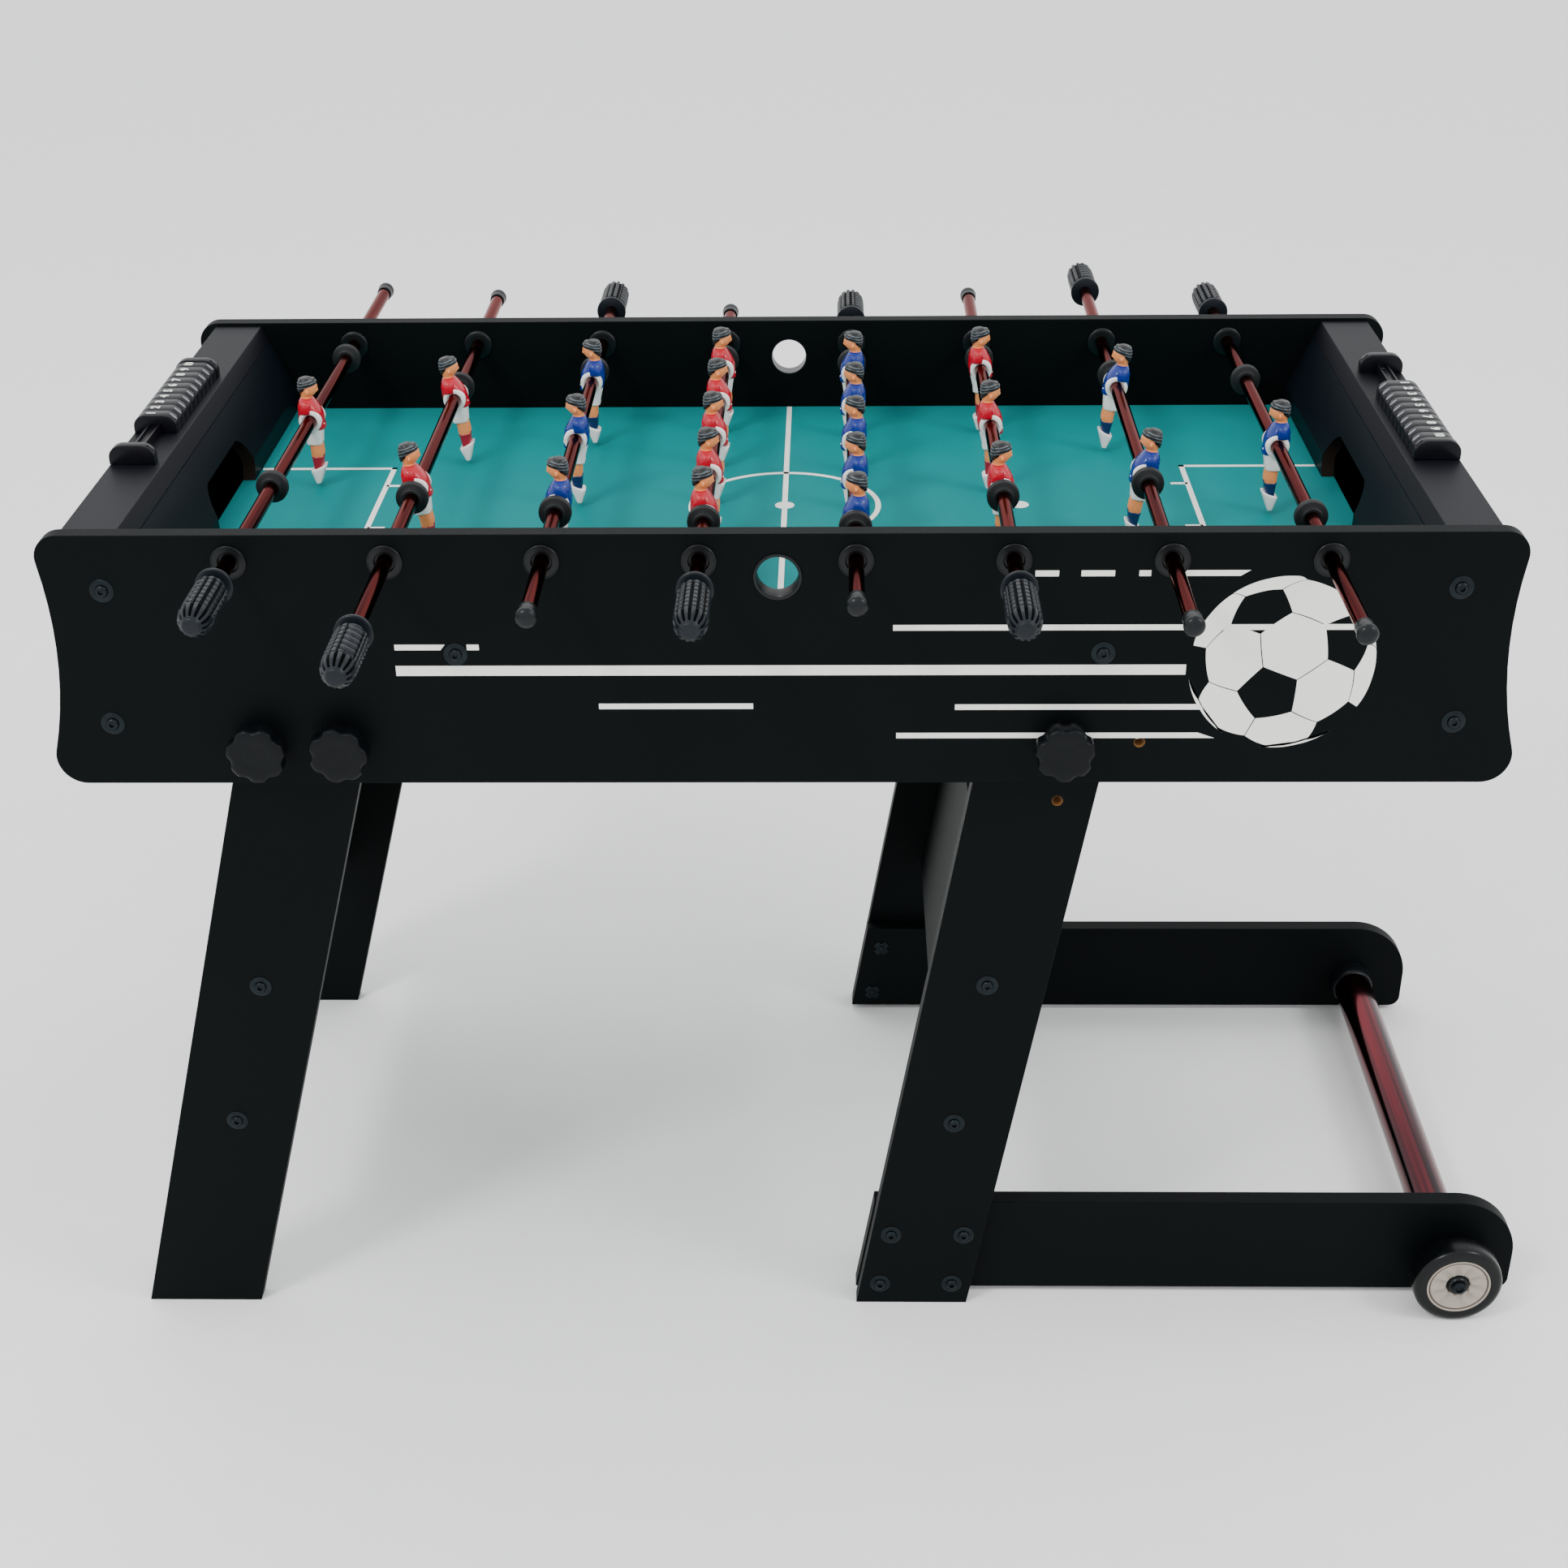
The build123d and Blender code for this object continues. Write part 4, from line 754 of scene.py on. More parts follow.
@dataclass
class Screws:
    """Every screw head and nut that shows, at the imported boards' faces."""

    upper_x: float = 551.4
    upper_z: float = 757.8
    lower_x: float = 561.4
    lower_z: float = 638.6
    support_x: float = 266.7
    support_z: float = 701.0
    panel_z: float = 292.5
    panel_step: float = 77.25
    left_foot: float = -576.0
    left_lean: float = 15.45
    right_foot: float = 122.7
    right_lean: float = 9.5
    beam_heights: tuple[float, float] = (24.0, 84.0)
    beam_step: float = 35.0
    leg_t: float = 18.0

    def cross_places(self, foot: float, lean: float) -> list[tuple[float, float]]:
        """The two screws on a leg's centre line, along the field and up in millimetres."""
        step = self.panel_step * math.cos(math.radians(lean))
        return [(leaning(foot, lean, z), z) for z in (self.panel_z - step, self.panel_z + step)]

    def build(self) -> None:
        """Sets the screws of the cabinet and both leg frames."""
        middle = centre_of("playfield")[0]
        cabinet, left, right = Shape(), Shape(), Shape()
        places = [(side * x, z) for x, z in ((self.upper_x, self.upper_z), (self.lower_x, self.lower_z),
                                             (self.support_x, self.support_z)) for side in SIDES]
        for face, side in outer_faces():
            for x, z in places:
                screw(cabinet, Axis(middle + x * MM, face, z * MM, side))
        thick = self.leg_t * MM
        for side in SIDES:
            corner = 0 if side < 0 else 1
            for shape, legs, foot, lean in ((left, "left_legs", self.left_foot, self.left_lean),
                                            (right, "right_legs", self.right_foot, self.right_lean)):
                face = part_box(legs)[corner][1]
                pivot = PIVOTS[legs + "_fold"]
                lathe(shape, Axis(pivot[0], face - side * thick, pivot[2], -side), NUT, around=24)
                for x, z in self.cross_places(foot, lean):
                    screw(shape, Axis(middle + x * MM, face, z * MM, side))
            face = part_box("right_legs")[corner][1]
            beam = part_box("foot_beams")[corner][1] - side * thick
            for z in self.beam_heights:
                for step in (-self.beam_step, self.beam_step):
                    x = middle + (leaning(self.right_foot, self.right_lean, z) + step) * MM
                    screw(right, Axis(x, face, z * MM, side))
                    prong_nut(right, Axis(x, beam, z * MM, -side))
            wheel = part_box("wheel_front" if side < 0 else "wheel_back")
            hub = (wheel[0] + wheel[1]) / 2
            lathe(right, Axis(hub[0], wheel[corner][1], hub[2], side), AXLE_HEAD, around=36)
        cabinet.piece("cabinet_screws", [BLACK_STEEL], "cabinet", "black_steel", ("cabinet_bolts",))
        left.piece("left_leg_screws", [BLACK_STEEL], "left_leg_frame", "black_steel", ("left_leg_bolts",))
        right.piece("right_leg_screws", [BLACK_STEEL, NUT_STEEL], "right_leg_frame", "black_steel",
                    ("right_leg_bolts",))


def prong_nut(shape: Shape, axis: Axis) -> None:
    """Adds a stamped nut: a disc with four notches cut in towards its screw, and the screw's end."""
    turn = angles(48)
    rim = 9.0 - 2.6 * np.clip(np.cos(4 * turn) * 3 - 1.6, 0, 1)
    along = np.array([0.0, 1.1, 1.5, 1.5, 0.2])[:, None] + 0 * turn
    radius = np.stack([rim, rim, rim - 0.6, 3.6 + 0 * turn, 3.4 + 0 * turn])
    shape.grid(axis.place(radius * np.cos(turn), along, radius * np.sin(turn)), 1)
    lathe(shape, axis, [(0.2, 3.0), (2.0, 3.0), (2.4, 2.4)], around=16)


@dataclass
class Knobs:
    """The lobed locking knobs: seven lobes between scallops, and fine rings turned in the middle of the face."""

    radius: float = 25.0
    lobes: int = 7
    scallop_r: float = 8.0
    scallop_reach: float = 30.0
    proud: float = 28.0
    thick: float = 17.0
    pivot_stem: float = 16.4
    lock_stem: float = 14.0
    lock_roll: float = 0.25
    rings_r: float = 11.5
    ring_pitch: float = 2.2
    ring_depth: float = 0.3

    def outline(self, turn: np.ndarray) -> np.ndarray:
        """The star's radius at each angle: the circle, or the near side of the scallop's circle where that is less."""
        step = 2 * math.pi / self.lobes
        off = (turn - math.pi / 2 + step / 2) % step - step / 2
        under = np.clip(self.scallop_r ** 2 - (self.scallop_reach * np.sin(off)) ** 2, 0, None)
        cut = self.scallop_reach * np.cos(off) - np.sqrt(under)
        star = np.where(under > 0, np.minimum(cut, self.radius), self.radius)
        kernel = np.hanning(9) / np.hanning(9).sum()
        padded = np.concatenate([star[-4:], star, star[:4]])
        return np.convolve(padded, kernel, "valid")

    def build(self) -> None:
        """Sets a front and a back knob on each of the three lines."""
        for line, roll, stem in (("left_pivot", 0.0, self.pivot_stem), ("left_lock", self.lock_roll, self.lock_stem),
                                 ("right_pivot", 0.0, self.pivot_stem)):
            body, node = line + "_knobs", "knobs_" + line
            shape = Shape()
            x, _, z = PIVOTS[body + "_turn"]
            low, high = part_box(node)
            for face, side in ((low[1], -1), (high[1], 1)):
                self.knob(shape, Axis(x, face - side * self.proud * MM, z, side), roll, stem)
            shape.piece(node + "_moulded", [KNOB_ABS, BLACK_STEEL], body, "knob_plastic", (node,))

    def knob(self, shape: Shape, axis: Axis, roll: float, stem: float) -> None:
        """Adds one knob with its neck and a stem this long; the axis starts on the side board's outer face."""
        turn = angles(168)
        star = self.outline((turn + roll) % (2 * math.pi))
        back = self.proud - self.thick
        rows = np.array([(back + 0.2, 0.84), (back, 0.93), (back + 0.5, 0.985), (back + 1.4, 1.0),
                         (self.proud - 3.4, 1.0), (self.proud - 1.6, 0.975), (self.proud - 0.5, 0.92),
                         (self.proud, 0.84), (self.proud, 0.74)])
        along, share = rows[:, :1] + 0 * turn, rows[:, 1:]
        fade = np.clip((share - 0.7) / 0.2, 0, 1)
        radius = share * (star * fade + star.min() * (1 - fade))
        rings = np.linspace(self.rings_r, 0.6, 36)
        wave = 0.5 - 0.5 * np.cos(2 * math.pi * (self.rings_r - rings) / self.ring_pitch)
        relief = self.proud - 0.15 - self.ring_depth * wave
        along = np.concatenate([along, relief[:, None] + 0 * turn])
        radius = np.concatenate([radius, rings[:, None] + 0 * turn])
        shape.grid(axis.place(radius * np.cos(turn), along, radius * np.sin(turn)))
        lathe(shape, axis, [(0.4, 8.6), (0.8, 9.5), (back - 1, 9.5), (back + 0.6, 11.0)], around=36)
        lathe(shape, axis, [(0.6, 4.0), (0.4 - stem, 4.0), (-stem, 3.6)], 1, around=20)


# ---------------------------------------------------------------- rods
class Team(Enum):
    """A side: which way its players face along the field."""

    RED = 1
    BLUE = -1


@dataclass(frozen=True)
class Rod:
    """One rod: its number and team, its count of players and their kick forward, and its grip's turn."""

    number: int
    team: Team
    players: int
    kick_deg: float
    roll_deg: float

    @property
    def body(self) -> str:
        """The body that its shaft, handle and players turn with."""
        return f"rod_{self.number}"

    def node(self, part: str) -> str:
        """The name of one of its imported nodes."""
        return f"rod_{self.number}_{part}"


RODS = (Rod(1, Team.RED, 1, 0, 150), Rod(2, Team.RED, 2, 7, 60), Rod(3, Team.BLUE, 3, 0, 20),
        Rod(4, Team.RED, 5, 0, 0), Rod(5, Team.BLUE, 5, 0, 40), Rod(6, Team.RED, 3, 0, 10),
        Rod(7, Team.BLUE, 2, 7, 75), Rod(8, Team.BLUE, 1, 0, 30))


@dataclass
class RodSet:
    """Shafts, bearings, bumpers, grips and end caps of the eight rods."""

    rod_r: float = 6.35
    side_t: float = 16.0
    grip_length: float = 84.0
    ribs: int = 14
    notch_pitch: float = 7.6
    ridge_pitch: float = 9.0
    panel_half: float = 0.55
    panel_end: float = 64.0
    nose_start: float = 66.0
    groove_depth: float = 2.1
    nose_deeper: float = 0.9
    # How sunk a groove's floor must be to take the grooves' painted shade.
    painted_shade_from: float = 0.62

    def build(self) -> None:
        """Builds every rod, and the bearings in both side boards."""
        bearings = Shape()
        for rod in RODS:
            self.shaft(rod)
            self.bumpers(rod)
            self.handle(rod)
            x, _, z = centre_of(rod.node("shaft"))
            for face, side in outer_faces():
                self.bearing(bearings, Axis(x, face, z, side))
        bearings.piece("bearings", [BEARING_ABS], "cabinet", "bearing_plastic", ("rod_bearings",))

    def bearing(self, shape: Shape, axis: Axis) -> None:
        """Adds a flanged bearing with a thin raised rim and a recessed throat, and its nut inside the board."""
        hollow_lathe(shape, axis, [
            (-19.0, 6.42), (-1.0, 6.42), (-1.0, 8.4), (1.0, 8.4), (1.5, 8.9), (1.5, 12.6), (1.55, 13.2), (2.0, 13.45),
            (2.0, 14.0), (1.6, 14.4), (0.9, 14.5), (0.05, 14.5), (0.05, 9.5), (-19.0, 9.5)], around=56)
        inner = Axis(axis.x, axis.y - axis.outward * self.side_t * MM, axis.z, -axis.outward)
        hollow_lathe(shape, inner, [(0.02, 9.55), (3.0, 9.55), (3.0, 12.6), (2.6, 13.6), (1.6, 14.4), (0.02, 14.5)],
                     around=56)

    def shaft(self, rod: Rod) -> None:
        """Turns the tube, polished, with its ends hidden in the grip and the cap."""
        low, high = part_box(rod.node("shaft"))
        middle = (low + high) / 2
        length = (high[1] - low[1]) / MM
        shape = Shape()
        lathe(shape, Axis(middle[0], low[1], middle[2], 1), tube_profile(length, self.rod_r, 0.6), around=48)
        shape.piece(rod.node("tube"), [ROD_CHROME], rod.body, "rod_chrome", (rod.node("shaft"),))

    def bumpers(self, rod: Rod) -> None:
        """Turns the two bumpers: a thick rounded disc on a hub, with a grooved rim and a clip ring on the hub."""
        low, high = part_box(rod.node("bumpers"))
        middle = (low + high) / 2
        shape = Shape()
        for start, side in ((low[1], 1), (high[1], -1)):
            hollow_lathe(shape, Axis(middle[0], start, middle[2], side), [
                (0.0, 6.4), (0.0, 8.4), (0.5, 9.0), (2.6, 9.0), (3.0, 9.6), (3.0, 12.6), (3.5, 13.6), (4.4, 14.0),
                (6.2, 14.0), (6.5, 13.7), (7.5, 13.7), (7.8, 14.0), (9.6, 14.0), (10.5, 13.6), (11.0, 12.6),
                (11.0, 9.6), (11.4, 9.0), (12.2, 9.0), (12.5, 8.5), (13.1, 8.5), (13.4, 9.0), (14.0, 8.6),
                (14.0, 6.4)], around=48)
        shape.piece(rod.node("bumper_pair"), [BUMPER_RUBBER], f"rod_{rod.number}_slider", "bumper_rubber",
                    (rod.node("bumpers"),))

    def handle(self, rod: Rod) -> None:
        """Builds the grip on the team's side and the cap on the other."""
        low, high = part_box(rod.node("handle"))
        middle = (low + high) / 2
        side = -rod.team.value
        grip_end, cap_end = (high[1], low[1]) if side > 0 else (low[1], high[1])
        shape = Shape()
        grip = Axis(middle[0], grip_end - side * self.grip_length * MM, middle[2], side)
        self.grip(shape, grip, math.radians(rod.roll_deg))
        lathe(shape, Axis(middle[0], cap_end, middle[2], side), [
            (0.0, 2.5), (0.5, 4.4), (1.3, 6.2), (2.6, 7.7), (4.2, 8.4), (6.0, 8.5), (8.0, 8.3), (10.0, 7.7),
            (11.2, 7.35), (12.0, 7.4), (19.6, 7.5), (20.0, 7.2)], 1, around=40)
        shape.piece(rod.node("grip_and_cap"), [GRIP_PP, CAP_ABS, GRIP_GROOVE_SHADE], rod.body, "grip_plastic",
                    (rod.node("handle"),), sharp_deg=50)

    def grip(self, shape: Shape, axis: Axis, roll: float) -> None:
        """Adds the collar disc, the neck and the ribbed grip.

        The grip's radius is an eased profile less its grooves. Round most of it lengthwise ribs, a softened
        square wave of the angle, are crossed by shallow notches. On two opposite panels there are instead broad
        ridges, waves of the length that arch towards the end at the panel's edges. Over the rounded end the ribs
        stand apart with deep slots. The grooves fade at the neck and the smooth end disc, and their floors are matt
        and painted near black, a painted shade.
        """
        lathe(shape, axis, [(0.0, 14.2), (0.4, 15.0), (1.2, 15.2), (2.6, 15.2), (3.3, 14.8), (3.5, 14.0), (3.2, 9.0)],
              around=56)
        profile = eased([(3.0, 8.2), (6.0, 8.4), (8.5, 9.6), (11.5, 12.6), (16, 13.8), (30, 14.0), (45, 14.0),
                         (58, 14.0), (68, 13.6), (74.5, 12.2), (79.5, 9.6), (82.4, 7.6)], 170)
        turn = angles(168)
        along = profile[:, :1] + 0 * turn
        base = profile[:, 1:2]
        ribs = 0.5 + 0.5 * np.tanh(3.6 * (np.cos(self.ribs * turn) + 0.45))
        notch = 0.5 + 0.5 * np.tanh(6 * (np.cos(2 * math.pi * along / self.notch_pitch) + 0.8))
        notch = np.where(along > self.nose_start, 1.0, notch)
        ribbed = ribs * (0.55 + 0.45 * notch)
        off = np.abs((turn - roll + math.pi / 2) % math.pi - math.pi / 2)
        panel = 0.5 - 0.5 * np.tanh((off - self.panel_half) / 0.035)
        arched = along + 3.4 * (off / self.panel_half) ** 2
        wave = 0.5 + 0.5 * np.sin(2 * math.pi * arched / self.ridge_pitch)
        ridges = 0.25 + 0.75 * wave ** 0.5
        border = np.exp(-((off - self.panel_half) / 0.05) ** 2)
        short = along < self.panel_end
        relief = (ribbed * (1 - panel * short) + ridges * panel * short) * (1 - 0.9 * border * short)
        fade = np.clip((along - 10.5) / 2.0, 0, 1) * np.clip((81.2 - along) / 1.5, 0, 1)
        sunk = (1 - relief) * fade
        radius = base - (self.groove_depth + self.nose_deeper * (along > self.nose_start)) * sunk
        # Faces deep in the grooves take the darker groove finish: painted shade.
        floor = (sunk[:-1] + sunk[1:] + np.roll(sunk, -1, 1)[:-1] + np.roll(sunk, -1, 1)[1:]) / 4
        shape.grid(axis.place(radius * np.cos(turn), along, radius * np.sin(turn)),
                   np.where(floor > self.painted_shade_from, 2, 0))
        lathe(shape, axis, [(81.6, 7.4), (82.6, 7.4), (83.5, 6.7), (84.0, 5.0), (84.0, 1.5)], around=36)


# ---------------------------------------------------------------- players
@dataclass
class Players:
    """The moulded figures: closed forms lofted through rounded sections, in the figure's own frame.

    In that frame forward is the way the figure faces, up is away from the foot, and both start on the rod. The
    hair takes a paler tone, a painted highlight, on its crests: where its wave is above a level, between two heights.
    """

    chest_half: float = 12.5
    wave_pitch: float = 2.6
    wave_slope: float = 0.22
    wave_depth: float = 0.32
    # Where the hair's painted highlight goes: above this level of the wave, between these two heights.
    highlight_wave: float = 0.55
    highlight_low: float = 28.5
    highlight_high: float = 37.4

    def build(self) -> None:
        """Sets every rod's figures in place of their packed blocks."""
        for rod in RODS:
            red = rod.team is Team.RED
            low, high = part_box(rod.node("players"))
            shaft = centre_of(rod.node("shaft"))
            inset = self.chest_half * MM
            shape = Shape()
            for place in np.linspace(low[1] + inset, high[1] - inset, rod.players):
                self.figure(shape, np.array([shaft[0], place, shaft[2]]), rod)
            shape.piece(rod.node("figures"), [SKIN, SHIRT_RED if red else SHIRT_BLUE, WHITE_PAINT,
                                              SOCK_RED if red else SOCK_NAVY, HAIR, HAIR_PAINTED_HIGHLIGHT], rod.body,
                        "red_player" if red else "blue_player", (rod.node("players"),), sharp_deg=42)

    def figure(self, shape: Shape, origin: np.ndarray, rod: Rod) -> None:
        """Adds one figure at this point of the rod."""
        face = rod.team.value
        kick = math.radians(rod.kick_deg)
        forward = np.array([face * math.cos(kick), 0, math.sin(kick)])
        up = np.array([-face * math.sin(kick), 0, math.cos(kick)])
        basis = np.stack([forward, np.array([0, 1.0, 0]), up]) * MM
        skin, shirt, white, sock, hair, hair_crest = range(6)

        def put(points: np.ndarray, tint: int | np.ndarray) -> None:
            """Turns points of the figure's frame (forward, aside, up) into place."""
            shape.grid(origin + points @ basis, tint)

        # Neck and head.
        put(loft([(4, -2.5, 6.5, 8.5, 2.4), (14, -3.2, 6.0, 6.5, 2.2), (18, -3.2, 5.4, 5.4, 2.1),
                  (21, -3.0, 5.2, 5.0, 2.1), (24, -1.6, 7.0, 6.2, 2.2), (28, -0.7, 8.1, 7.1, 2.3),
                  (32, -0.9, 8.4, 7.3, 2.3), (35.5, -1.0, 7.6, 6.6, 2.2), (37.6, -1.0, 4.6, 4.0, 2.0)], 26, 30,
                 features=self.face), skin)
        # Hair, with a painted highlight on its crests, and the ears.
        locks = loft([(24.2, -8.6, 1.2, 4.4, 2.0), (26.5, -6.7, 3.4, 6.6, 2.2), (30, -4.2, 6.1, 7.8, 2.3),
                      (32.6, -1.4, 8.6, 8.2, 2.3), (35.6, -1.1, 8.4, 7.5, 2.3), (38.0, -1.2, 6.4, 5.6, 2.1),
                      (38.9, -1.3, 2.6, 2.2, 2.0)], 40, 36, features=self.combed)
        middle = (locks[:-1] + locks[1:]) / 2
        height = middle[..., 2]
        # The painted highlight: a paler tone on the hair's crests.
        highlight_mask = (self.wave(middle) > self.highlight_wave) & (height > self.highlight_low) & (height < self.highlight_high)
        put(locks, np.where(highlight_mask, hair_crest, hair))
        for side in SIDES:
            put(blob((-0.6, side * 7.3, 26.2), (1.5, 0.9, 2.2)), skin)
        # Shirt, then its sleeves.
        put(loft([(-9.6, 2.4, 8.6, 9.0, 2.6), (-8.4, 1.2, 10.6, 10.2, 2.6), (-4, 0.2, 11.6, 10.8, 2.6),
                  (3, -0.6, 11.6, 11.2, 2.5), (9, -1.4, 10.9, 11.6, 2.5), (14, -2.4, 9.0, 11.2, 2.4),
                  (17.6, -3.0, 7.2, 8.8, 2.3), (19.6, -3.1, 5.9, 6.2, 2.2)], 26, 32, features=self.shirt), shirt)
        for side in SIDES:
            put(loft([(6.6, -4.2, 4.6, 2.6, 2.3), (7.4, -4.2, 5.6, 3.6, 2.4), (10, -3.9, 5.6, 3.9, 2.3),
                      (13, -3.4, 5.2, 3.7, 2.2), (16.4, -3.0, 4.0, 2.9, 2.1), (18.2, -3.0, 1.6, 1.2, 2.0)], 18, 22,
                     shift=side * 10.4), shirt)
        # Collars where the rod goes through the chest, and the lug below the belt.
        turn = angles(36)
        for side in SIDES:
            rows = np.array([(2.0, 10.2), (11.4, 10.6), (12.2, 10.2), (12.5, 9.2), (12.5, 7.4), (11.8, 6.7)])
            put(np.stack([rows[:, 1:] * np.cos(turn), side * rows[:, :1] + 0 * turn, rows[:, 1:] * np.sin(turn)], -1),
                white)
        put(blob((11.2, -3.5, -4.2), (0.8, 0.9, 0.9)), white)
        # Shorts, legs, socks and shoe.
        put(loft([(-24.2, 0.4, 6.4, 7.6, 2.8), (-23.6, 0.4, 7.6, 8.9, 2.8), (-20, 0.6, 8.0, 9.4, 2.7),
                  (-12, 0.3, 9.4, 9.9, 2.5), (-5, 0.0, 10.4, 10.2, 2.4), (0, 0, 9.4, 9.4, 2.2)], 22, 30,
                 features=self.between_legs), white)
        put(loft([(-38, 1.6, 5.4, 7.0, 2.6), (-34, 1.9, 6.3, 7.6, 2.6), (-30, 1.9, 6.3, 7.9, 2.6),
                  (-22, 1.2, 6.4, 8.0, 2.6)], 14, 28, features=self.between_legs), skin)
        put(loft([(-51, 1.3, 4.6, 6.6, 2.7), (-44, 1.4, 5.0, 7.0, 2.7), (-38.4, 1.6, 5.7, 7.5, 2.7),
                  (-36.6, 1.7, 6.2, 7.9, 2.7), (-35.9, 1.7, 5.9, 7.6, 2.7)], 16, 28, features=self.between_legs),
            sock)
        put(self.shoe(), white)

    def face(self, points: np.ndarray) -> np.ndarray:
        """Pushes out a plain nose, brow and chin, and hollows the eyes: bell curves of height and side at the front."""
        front = np.clip(points[..., 0] / 6, 0, 1)
        aside, up = points[..., 1], points[..., 2]
        nose = 1.7 * np.exp(-((up - 26.8) / 1.9) ** 2 - (aside / 1.5) ** 2)
        brow = 0.6 * np.exp(-((up - 30.4) / 1.1) ** 2 - (aside / 5) ** 2)
        chin = 0.9 * np.exp(-((up - 22.4) / 1.2) ** 2 - (aside / 2.6) ** 2)
        eyes = -0.9 * np.exp(-((up - 28.6) / 1.1) ** 2 - ((np.abs(aside) - 3.0) / 1.5) ** 2)
        points[..., 0] += front * (nose + brow + chin + eyes)
        return points

    def combed(self, points: np.ndarray) -> np.ndarray:
        """Combs the hair: shallow waves that run round the head, by height less a slope forward."""
        middle = np.array([-1.2, 0, 30.0])
        away = points - middle
        outwards = away / np.linalg.norm(away, axis=-1, keepdims=True)
        return points + outwards * self.wave_depth * self.wave(points)[..., None]

    def wave(self, points: np.ndarray) -> np.ndarray:
        """The hair's wave, from -1 to 1: a cosine of the height less a slope forward."""
        return np.cos(2 * math.pi * (points[..., 2] - self.wave_slope * points[..., 0]) / self.wave_pitch)

    def shirt(self, points: np.ndarray) -> np.ndarray:
        """Creases the shirt: slanting folds, waves of height and forward place, that die away at the collar."""
        fold = 0.35 * np.sin(2 * math.pi * (points[..., 2] + 0.9 * points[..., 0]) / 11)
        fold *= np.clip((16 - points[..., 2]) / 6, 0, 1)
        points[..., 1] += np.sign(points[..., 1]) * fold
        points[..., 0] += 0.5 * fold * np.sign(points[..., 0])
        return points

    def between_legs(self, points: np.ndarray) -> np.ndarray:
        """Parts the legs with a groove front and back, deeper lower down: a bell curve of the place aside."""
        depth = np.clip((-points[..., 2] - 12) / 14, 0, 1) * 0.42
        points[..., 0] *= 1 - depth * np.exp(-(points[..., 1] / 2.0) ** 2)
        return points

    def shoe(self) -> np.ndarray:
        """The foot block: its heel and toe lines run straight to a narrow sole, and its section is nearly square."""
        share = eased([(0.0, 0.72), (0.03, 0.94), (0.2, 1.0), (0.5, 1.0), (0.9, 0.98), (0.985, 0.92), (1.0, 0.8)], 22)
        down, size = share[:, :1], share[:, 1:]
        heel = np.array([-6.4, -49.8]) + down * np.array([4.2, -12.5])
        toe = np.array([9.6, -43.8]) + down * np.array([-7.2, -18.5])
        width = 8.6 - 1.6 * down
        turn = angles(32)
        across = superellipse(turn, 4.2)
        middle, half = (heel + toe) / 2, (toe - heel) / 2
        forward = middle[:, :1] + half[:, :1] * size * across[0]
        up = middle[:, 1:] + half[:, 1:] * size * across[0]
        return np.stack([forward, width * size * across[1], up], -1)


def superellipse(turn: np.ndarray, power: float | np.ndarray) -> np.ndarray:
    """Cosine and sine of the angle, each raised to 2 / power with its sign kept, which squares a circle up."""
    cosine, sine = np.cos(turn), np.sin(turn)
    return np.stack([np.sign(cosine) * np.abs(cosine) ** (2 / power), np.sign(sine) * np.abs(sine) ** (2 / power)])


def loft(keys: list[tuple[float, float, float, float, float]], rows: int, around: int,
         features: Callable[[np.ndarray], np.ndarray] | None = None, shift: float = 0.0) -> np.ndarray:
    """A form lofted through sections up a figure.

    Args:
        keys: For each section its height, its middle forward, its half depth, its half width and its squareness.
        rows: How many rows to ease between them.
        around: How many points go round.
        features: A function that moves the finished points.
        shift: How far aside the form's middle is.

    Returns:
        Rows by around by 3 points: forward, aside and up.
    """
    sections = eased(keys, rows)
    turn = angles(around)
    across = superellipse(turn, sections[:, 4:5])
    points = np.stack([sections[:, 1:2] + sections[:, 2:3] * across[0], shift + sections[:, 3:4] * across[1],
                       sections[:, :1] + 0 * turn], -1)
    return features(points) if features else points


def blob(middle: tuple[float, float, float], half: tuple[float, float, float]) -> np.ndarray:
    """A small rounded lump with these half sizes."""
    lift = np.linspace(-math.pi / 2 + 0.2, math.pi / 2 - 0.2, 8)[:, None]
    turn = angles(12)
    ball = np.stack([np.cos(lift) * np.cos(turn), np.cos(lift) * np.sin(turn), np.sin(lift) + 0 * turn], -1)
    return np.array(middle) + ball * np.array(half)


